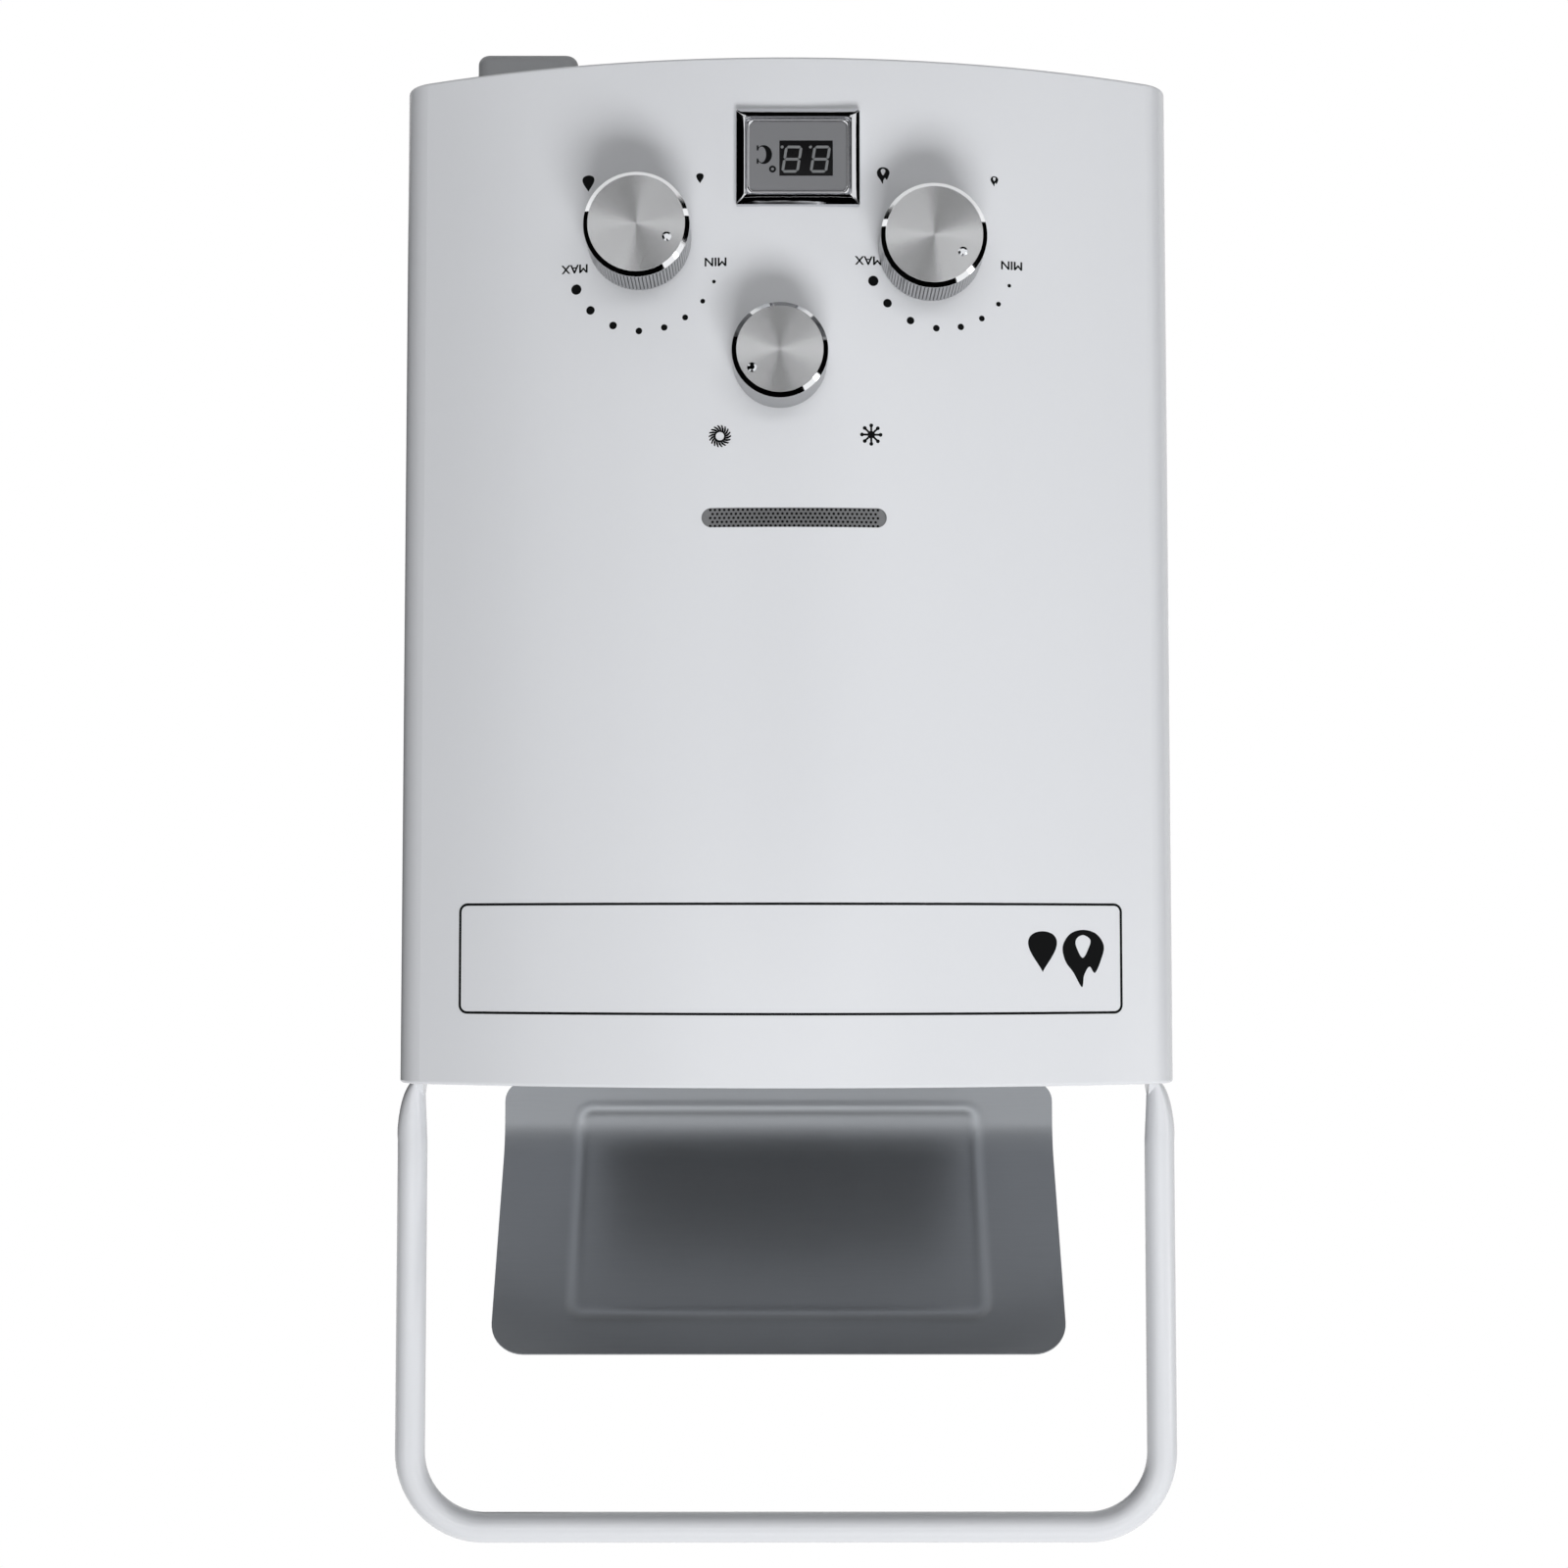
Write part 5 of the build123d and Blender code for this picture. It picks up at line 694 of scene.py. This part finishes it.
class HEATER_OT_prints(bpy.types.Operator):
    """Marks printed on the bowed front"""
    bl_idname = "heater.prints"
    bl_label = "Prints"

    panel_x, panel_height, panel_width, panel_tall, panel_corner = -1.5, 331.5, 245.1, 40.6, 3.2
    dot_shares = (0.0, 0.18, 0.33, 0.41, 0.45, 0.59, 0.74, 1.0)
    # Name, centre x and height, radius of the ring, and the angle of each dot.
    dials = (("gas", -56.9, 73.0, 27.3, (158.8, 141.4, 123.4, 105.2, 85.8, 65.0, 42.8, 22.4)),
             ("water", 52.5, 73.8, 27.6, (158.7, 141.5, 123.3, 105.7, 86.0, 65.3, 43.5, 23.3)))
    words = (("gas_min", "MIN", -83.3, 75.3), ("gas_max", "MAX", -29.8, 75.9),
             ("water_min", "MIN", 26.2, 76.5), ("water_max", "MAX", 78.6, 77.0))
    word_weight, season_radius = 0.2, 4.1

    def execute(self, context):
        sizes = context.scene.heater_sizes
        outline = [rounded_box(self.panel_x, self.panel_height, self.panel_width - 2 * inset,
                               self.panel_tall - 2 * inset, self.panel_corner - inset, along=80)
                   for inset in (0.0, sizes.frame_line / MM)]
        self.inked("panel_frame", [filled(outline)])
        self.inked("panel_marks", self.flame(-109.0, 331.5, 10.5) + self.drop(-93.5, 329.0, 7.5))
        for dial, x, height, radius, angles in self.dials:
            dots = []
            for share, angle in zip(self.dot_shares, angles):
                size = (sizes.dot_small + share * (sizes.dot_large - sizes.dot_small)) / MM
                turn = radians(angle)
                dot_x, dot_height = x + radius * cos(turn), height + radius * sin(turn)
                dots.append(filled([circle(dot_x, dot_height, size / 2)]))
            self.inked(f"{dial}_dial_dots", dots)
        for name, text, x, height in self.words:
            self.inked(f"{name}_word", lettered(text, sizes.cap_height / MM, x, height, self.word_weight))
        self.inked("winter_mark", self.snowflake(-30.8, 140.4, self.season_radius))
        self.inked("summer_mark", self.sun(24.5, 141.1, self.season_radius))
        self.inked("gas_scale", self.flame(-76.9, 44.0, 1.9) + self.flame(-35.4, 44.0, 3.1))
        self.inked("water_scale", self.drop(32.0, 45.2, 1.9) + self.drop(73.5, 45.2, 3.1))
        return {"FINISHED"}

    def inked(self, name, shapes):
        """Print the shapes in ink."""
        printed(name, shapes, "black_plastic", "ink")

    def snowflake(self, x, y, radius):
        """Eight arms, each with a round end."""
        shapes = [filled([circle(x, y, 0.34 * radius)])]
        for turn in range(8):
            ux, uy = cos(pi * turn / 4), sin(pi * turn / 4)
            end = (x + 0.85 * radius * ux, y + 0.85 * radius * uy)
            shapes.append(filled([stroke(x, y, *end, 0.18 * radius)]))
            shapes.append(filled([circle(x + 0.83 * radius * ux, y + 0.83 * radius * uy, 0.17 * radius)]))
        return shapes

    def sun(self, x, y, radius):
        """A ring with eighteen swept rays."""
        shapes = [filled([circle(x, y, radius * 0.54, 40), circle(x, y, radius * 0.38, 40)])]
        for turn in range(18):
            loop = []
            for reach, half in ((0.5, 0.078), (0.75, 0.105), (1.0, 0.068)):
                angle = 2 * pi * turn / 18 + 0.75 * (reach - 0.5)
                loop.append((reach, angle - half / reach))
                loop.insert(0, (reach, angle + half / reach))
            shapes.append(filled([[(x + radius * r * cos(a), y + radius * r * sin(a)) for r, a in loop]]))
        return shapes

    def flame(self, x, y, size):
        """A flame of two tongues, left open low down."""
        tongues = ((0.0, -1.0), (0.48, -0.86), (0.75, -0.42), (0.66, 0.08), (0.36, 0.5), (0.06, 1.0),
                   (-0.02, 0.58), (-0.22, 0.28), (-0.42, 0.5), (-0.66, 0.0), (-0.75, -0.45),
                   (-0.48, -0.86))
        inner = ((0.0, -0.82), (0.24, -0.7), (0.27, -0.45), (0.03, -0.02), (-0.2, -0.38), (-0.25, -0.66))
        return [filled([self.smooth([(x + size * px, y + size * py) for px, py in points])
                        for points in (tongues, inner)])]

    def drop(self, x, y, size):
        """A water drop."""
        loop = []
        for i in range(48):
            turn = 2 * pi * i / 48
            loop.append((x + 1.05 * size * sin(turn) * sin(turn / 2) ** 1.6, y + size * cos(turn)))
        return [filled([loop])]

    def smooth(self, points, steps=6):
        """Closed curve through the points."""
        loop, count = [], len(points)
        for i in range(count):
            a, b, c, d = (Vector(points[(i + k) % count]) for k in (-1, 0, 1, 2))
            for step in range(steps):
                t = step / steps
                bend = 2 * a - 5 * b + 4 * c - d
                p = b + t * ((c - a) + t * (bend + t * (3 * b - a - 3 * c + d))) / 2
                loop.append((p.x, p.y))
        return loop


class HEATER_OT_display(bpy.types.Operator):
    """Temperature display: plated bezel, film, window, digits and unit"""
    bl_idname = "heater.display"
    bl_label = "Display"

    digits_from_left, digits_up, digit_width, digit_height = (-8.2, 2.2), 1.0, 5.4, 9.1
    bar, slant = 1.0, tan(radians(9))
    degree_x, degree_up, degree_outer, degree_inner = 9.3, 4.7, 1.3, 0.55
    unit_x, unit_up = 12.5, -0.7
    bead_inset, bead_radius, bead_steps = 4.35, 0.6, 8

    def execute(self, context):
        dress("display_fascia")
        cover("display_module", finish("window"))
        low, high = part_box("display_fascia")
        film = -low.y / MM
        x, height = (low.x + high.x) / 2 / MM, (low.z + high.z) / 2 / MM + HANG_HEIGHT
        self.bezel(x, height, film)
        glass = -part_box("display_module")[0].y / MM
        digits = []
        for shift in self.digits_from_left:
            digits += self.digit(x + shift, height + self.digits_up)
        printed("display_digits", digits, "grey_fascia", "segment", depth_at=lambda _: glass, lift=0.04)
        degree = filled([circle(x + self.degree_x, height + self.degree_up, radius)
                         for radius in (self.degree_outer, self.degree_inner)])
        unit = self.capital_c(x + self.unit_x, height + self.unit_up)
        printed("display_unit", [degree, unit], "black_plastic", "ink", depth_at=lambda _: film)
        return {"FINISHED"}

    def bezel(self, x, height, film):
        """Plated bezel: an upright edge, a broad mitred bevel and a round bead on the film."""
        low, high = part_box("display_bezel")
        width, tall = (high.x - low.x) / MM, (high.z - low.z) / MM
        crest = -low.y / MM
        # Inset, depth and corner radius, from the case up over the crest and down to the film.
        section = [(0.0, crest - 5.4, 0.5), (0.0, crest - 2.25, 0.5), (0.12, crest - 2.0, 0.5),
                   (2.75, crest - 0.1, 0.6), (3.0, crest, 0.7), (3.25, crest - 0.15, 0.8),
                   (3.75, crest - 1.25, 1.2)]
        for i in range(self.bead_steps + 1):
            turn = pi * i / self.bead_steps
            section.append((self.bead_inset - self.bead_radius * cos(turn),
                            film + 0.1 + self.bead_radius * sin(turn), 1.5 + 0.09 * i))
        section.append((4.95, film - 0.1, 2.2))
        rings = []
        for inset, depth, corner in section:
            loop = rounded_box(x, height, width - 2 * inset, tall - 2 * inset, corner, along=6)
            rings.append([place(px, depth, pz) for px, pz in loop])
        shape = tube(rings, closed=True)
        piece = mesh_piece("display_bezel_plated", *shape, "case", "chrome", "chrome", 30)
        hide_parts("display_bezel")

    def digit(self, x, height):
        """Seven slanted segments and a decimal point."""
        half_width, half_height, thick = self.digit_width / 2, self.digit_height / 2, self.bar
        shapes = []
        for sy in (-1, 0, 1):
            shapes.append(self.segment(x, height + sy * half_height, half_width, 0.0, thick))
        for sx in (-1, 1):
            for sy in (-1, 1):
                shapes.append(self.segment(x + sx * half_width, height + sy * half_height / 2,
                                           0.0, half_height / 2, thick))
        shapes.append(circle(x + half_width + 1.6, height - half_height, 0.55, 16))
        leaned = [[(px + (py - height) * self.slant, py) for px, py in loop] for loop in shapes]
        return [filled([loop]) for loop in leaned]

    def segment(self, x, y, half_x, half_y, thick):
        """Bar with pointed ends, level or upright."""
        t, reach = thick / 2, max(half_x, half_y) - 0.12
        bar = [(-reach, 0), (t - reach, t), (reach - t, t), (reach, 0), (reach - t, -t), (t - reach, -t)]
        return [(x + u, y + v) if half_x else (x + v, y + u) for u, v in bar]

    def capital_c(self, x, y):
        """Seriffed capital C, heavy on its left."""
        outer, inner = [], []
        for i in range(25):
            turn = radians(40 + 280 * i / 24)
            outer.append((x + 3.0 * cos(turn), y + 3.5 * sin(turn)))
            inner.append((x + 0.8 + 1.65 * cos(turn), y + 2.95 * sin(turn)))
        serifs = [filled([stroke(x + 2.3, y + side * 3.4, x + 2.3, y + side * 1.5, 0.6)])
                  for side in (1, -1)]
        return gather([filled([outer + inner[::-1]])] + serifs)


class HEATER_OT_viewport(bpy.types.Operator):
    """Flame viewport: perforated strip and the mica behind it"""
    bl_idname = "heater.viewport"
    bl_label = "Viewport"

    steps, mica_behind, mica_thickness = 40, 1.9, 0.4

    def execute(self, context):
        cover("viewport_mesh", finish("perforated_strip"))
        low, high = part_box("viewport_mesh")
        bottom, top = (z / MM + HANG_HEIGHT for z in (low.z, high.z))
        rings = []
        for i in range(self.steps + 1):
            x = (low.x + (high.x - low.x) * i / self.steps) / MM
            near = front_depth(x) - self.mica_behind
            far = near - self.mica_thickness
            rings.append([place(x, depth, height) for depth, height in (
                (near, bottom), (near, top), (far, top), (far, bottom))])
        # The mica's near-black colour is painted shade of the dark chamber behind the strip.
        mesh_piece("viewport_mica", *tube(rings), "case", "black_plastic", "smoked_mica")
        return {"FINISHED"}


class HEATER_OT_battery_box(bpy.types.Operator):
    """Battery box with its lid and contacts"""
    bl_idname = "heater.battery_box"
    bl_label = "Battery box"

    def execute(self, context):
        dress("battery_box", "battery_lid", "battery_contacts")
        return {"FINISHED"}


class HEATER_OT_fittings(bpy.types.Operator):
    """Gas and water stubs with cut threads, and the drain plug"""
    bl_idname = "heater.fittings"
    bl_label = "Pipe fittings"

    around, steps_per_turn = 48, 10
    major, bore, shoulder, hexagon_half = 10.48 * MM, 7.0 * MM, 12.5 * MM, 14.5 * MM
    thread_length, hexagon_height, rim, bevel = 16.0 * MM, 3.0 * MM, 0.6 * MM, 0.5 * MM
    plate_top = 1.8

    def execute(self, context):
        dress("drain_plug")
        for node in ("gas_inlet", "cold_water_inlet", "hot_water_outlet"):
            self.stub(node, context.scene.heater_sizes)
        return {"FINISHED"}

    def stub(self, node, sizes):
        """Turned stub: bore, threaded end, shoulder, hexagon and tail."""
        low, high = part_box(node)
        centre = (low + high) / 2
        count, steps = self.around, self.steps_per_turn
        root = self.major - sizes.thread_depth
        thread_top, floor_top = low.z + self.thread_length, place(0, 0, self.plate_top).z
        hexagon_top = floor_top + self.hexagon_height
        turns = [2 * pi * i / count for i in range(count)]
        rings = []

        def ring(z, radii):
            """Add one ring of points, at one radius or at a radius for each."""
            radii = radii if isinstance(radii, list) else [radii] * count
            rings.append([(centre.x + r * cos(turn), centre.y + r * sin(turn), z)
                          for turn, r in zip(turns, radii)])

        ring(low.z, self.bore + self.rim)
        ring(low.z, root)
        total = int((thread_top - low.z - 2 * self.rim) / sizes.thread_pitch * steps)
        for step in range(1, total):
            fade = min(1.0, step / steps, (total - step) / steps)
            ridges = [1 - abs(2 * ((step / steps - i / count) % 1.0) - 1) for i in range(count)]
            heights = [min(1.0, max(0.0, 1.4 * ridge - 0.2)) * fade for ridge in ridges]
            ring(low.z + step * sizes.thread_pitch / steps,
                 [root + sizes.thread_depth * height for height in heights])
        ring(thread_top, root)
        ring(thread_top, self.shoulder - self.bevel)
        ring(thread_top + self.bevel, self.shoulder)
        ring(floor_top, self.shoulder)
        hexagon = [self.hexagon_half / cos((turn + pi / 6) % (pi / 3) - pi / 6) for turn in turns]
        ring(floor_top, hexagon)
        ring(hexagon_top, hexagon)
        ring(hexagon_top, self.major)
        ring(high.z, self.major)
        ring(high.z, self.bore)
        ring(low.z + self.rim, self.bore)
        piece = mesh_piece(f"{node}_threaded", *tube(rings, closed=True), "case", "brass", "brass", 35)
        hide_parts(node)


class HEATER_OT_internals(bpy.types.Operator):
    """Valves, linkage, burner, exchanger, pipes and igniter inside the case"""
    bl_idname = "heater.internals"
    bl_label = "Internals"

    def execute(self, context):
        dress("gas_valve_body", "water_valve_body", "diaphragm_cover", "season_valve_body", "push_rod",
              "switch_lever", "micro_switch", "gas_riser", "gas_feed", "gas_manifold", "burner_bars",
              "burner_rack", "exchanger_jacket", "exchanger_core", "flue_hood", "cold_pipe", "hot_pipe",
              "igniter_box", "ignition_electrode", "flame_sensor", "overheat_thermostat")
        return {"FINISHED"}


class HEATER_OT_stage(bpy.types.Operator):
    """Paper floor, soft lamps, velvet cards and the camera"""
    bl_idname = "heater.stage"
    bl_label = "Stage"

    # Name, place, target, width and height in metres, watts, and whether bright metal mirrors it.
    lamps = (("key_lamp", (-0.4, -2.15, 1.9), (0.0, -0.1, -0.15), 1.4, 1.0, 66.0, False),
             ("low_lamp", (-0.1, -1.3, -0.48), (0.0, -0.1, -0.35), 0.8, 0.24, 1.9, False),
             ("front_lamp", (0.0, -2.2, 0.25), (0.0, -0.1, 0.05), 1.2, 0.6, 2.8, True),
             ("side_lamp", (-1.15, -0.65, 0.2), (0.0, -0.1, -0.15), 0.4, 0.4, 0.8, True),
             ("glint_lamp", (-0.95, -0.31, 0.28), (0.0, -0.15, -0.27), 0.15, 0.15, 0.2, True),
             ("rear_lamp_left", (-1.6, 1.6, 0.6), (0.0, -0.05, -0.1), 0.8, 0.8, 10.0, False),
             ("rear_lamp_right", (1.6, 1.6, 0.6), (0.0, -0.05, -0.1), 0.8, 0.8, 10.0, False))
    # Name, and its two ends along x, y and z in metres.
    cards = (("right_card", (0.7, 0.7), (-0.8, 0.2), (-0.9, 1.0)),
             ("flank_card", (0.7, 0.7), (0.2, 1.0), (-0.9, 0.15)),
             ("back_card", (0.18, 0.7), (1.0, 1.0), (-0.9, 0.15)),
             ("left_card", (-0.7, -0.7), (-0.25, 0.12), (-0.9, 0.05)),
             ("upper_card", (-0.95, 0.7), (-1.3, 0.0), (1.0, 1.0)),
             ("lower_card", (-0.45, 0.45), (-1.2, -0.5), (-0.6, -0.6)),
             ("foot_card", (-0.45, 0.45), (-0.3, -0.1), (-0.6, -0.6)),
             ("brow_card", (-0.4, 0.4), (-1.6, -1.6), (0.4, 1.3)),
             ("front_card", (-0.16, 0.16), (-1.5, -1.5), (-0.6, 0.0)))
    lens, sensor, pitch, yaw = 58.7, 36.0, radians(3.512), radians(-0.118)
    camera_place = (0.003, -1.05312, -0.01498)
    floor_half, floor_level, paper, shadow_ends, white_begins = 12.0, -0.62, "A2A2A2", 0.7, 0.84
    room_light = 0.12

    def execute(self, context):
        self.camera(context)
        self.floor()
        for lamp in self.lamps:
            self.lamp(*lamp)
        for card in self.cards:
            self.card(*card)
        self.world(context)
        context.scene.view_settings.view_transform = "Standard"
        return {"FINISHED"}

    def camera(self, context):
        """Long lens a metre from the case, rolled over: the heater is shown upside down."""
        data = bpy.data.cameras.new("camera")
        data.lens = self.lens
        data.sensor_width = self.sensor
        obj = linked("camera", data)
        ahead = Vector((sin(self.yaw) * cos(self.pitch), cos(self.yaw) * cos(self.pitch),
                        -sin(self.pitch)))
        obj.location = self.camera_place
        level = ahead.to_track_quat("-Z", "Y").to_matrix()
        obj.rotation_euler = (level @ Matrix.Rotation(pi, 3, "Z")).to_euler()
        context.scene.camera = obj

    def prop(self, name, corners, material):
        """Flat four-cornered piece of the stage."""
        mesh = bpy.data.meshes.new(name)
        mesh.from_pydata(corners, [], [(0, 1, 2, 3)])
        mesh.materials.append(material)
        obj = linked(name, mesh)
        return obj

    def floor(self):
        """Floor well below the heater, where the hanging heater throws a soft shadow."""
        half, level = self.floor_half, self.floor_level
        corners = [(-half, -half, level), (half, -half, level), (half, half, level), (-half, half, level)]
        paper = matt_paper("matt_paper", self.paper, self.shadow_ends, self.white_begins)
        self.prop("floor", corners, paper)

    def lamp(self, name, location, target, width, height, power, mirrored):
        """Soft rectangular lamp, turned towards its target."""
        data = bpy.data.lights.new(name, "AREA")
        data.shape = "RECTANGLE"
        data.size = width
        data.size_y = height
        data.energy = power
        obj = linked(name, data)
        obj.location = location
        obj.rotation_euler = (Vector(target) - Vector(location)).to_track_quat("-Z", "Y").to_euler()
        obj.visible_glossy = mirrored

    def card(self, name, xs, ys, zs):
        """Velvet card between two corners, which only metal and gloss see, as their surroundings."""
        (left, right), (near, far), (low, high) = xs, ys, zs
        if low == high:
            corners = [(left, near, low), (right, near, low), (right, far, low), (left, far, low)]
        else:
            corners = [(left, near, low), (right, far, low), (right, far, high), (left, near, high)]
        obj = self.prop(name, corners, finish("velvet"))
        obj.visible_camera = False
        obj.visible_diffuse = False
        obj.visible_shadow = False

    def world(self, context):
        """Pale room light; the eye, metal and glass see a white background."""
        world = bpy.data.worlds.new("studio")
        context.scene.world = world
        world.use_nodes = True
        tree = world.node_tree
        tree.nodes.clear()
        room, white = (add(tree, "ShaderNodeBackground", {"Color": WHITE, "Strength": strength})
                       for strength in (self.room_light, 1.0))
        mixed = add(tree, "ShaderNodeMixShader", {0: seen_directly(tree), 1: room.outputs[0],
                                                  2: white.outputs[0]})
        add(tree, "ShaderNodeOutputWorld", {"Surface": mixed.outputs[0]})


STEPS = (HEATER_OT_casing, HEATER_OT_handle, HEATER_OT_deflector, HEATER_OT_knobs, HEATER_OT_prints,
         HEATER_OT_display, HEATER_OT_viewport, HEATER_OT_battery_box, HEATER_OT_fittings,
         HEATER_OT_internals, HEATER_OT_stage)


class HEATER_PT_panel(bpy.types.Panel):
    """Colours, sizes and steps of the heater"""
    bl_idname = "HEATER_PT_panel"
    bl_label = "Water Heater"
    bl_space_type = "VIEW_3D"
    bl_region_type = "UI"
    bl_category = "Water Heater"

    def draw(self, context):
        for group in (context.scene.heater_colours, context.scene.heater_sizes):
            for name in group.__annotations__:
                self.layout.prop(group, name)
        for step in STEPS:
            self.layout.operator(step.bl_idname)


CLASSES = (HeaterColours, HeaterSizes) + STEPS + (HEATER_PT_panel,)


def register():
    """Make the classes and the settings known to Blender."""
    for item in CLASSES:
        bpy.utils.register_class(item)
    bpy.types.Scene.heater_colours = bpy.props.PointerProperty(type=HeaterColours)
    bpy.types.Scene.heater_sizes = bpy.props.PointerProperty(type=HeaterSizes)


def unregister():
    """Take the classes and the settings away again."""
    del bpy.types.Scene.heater_sizes
    del bpy.types.Scene.heater_colours
    for item in reversed(CLASSES):
        bpy.utils.unregister_class(item)


def main():
    """Dress the frame."""
    register()
    bpy.ops.heater.casing()
    bpy.ops.heater.handle()
    bpy.ops.heater.deflector()
    bpy.ops.heater.knobs()
    bpy.ops.heater.prints()
    bpy.ops.heater.display()
    bpy.ops.heater.viewport()
    bpy.ops.heater.battery_box()
    bpy.ops.heater.fittings()
    bpy.ops.heater.internals()
    bpy.ops.heater.stage()


if __name__ == "__main__":
    main()
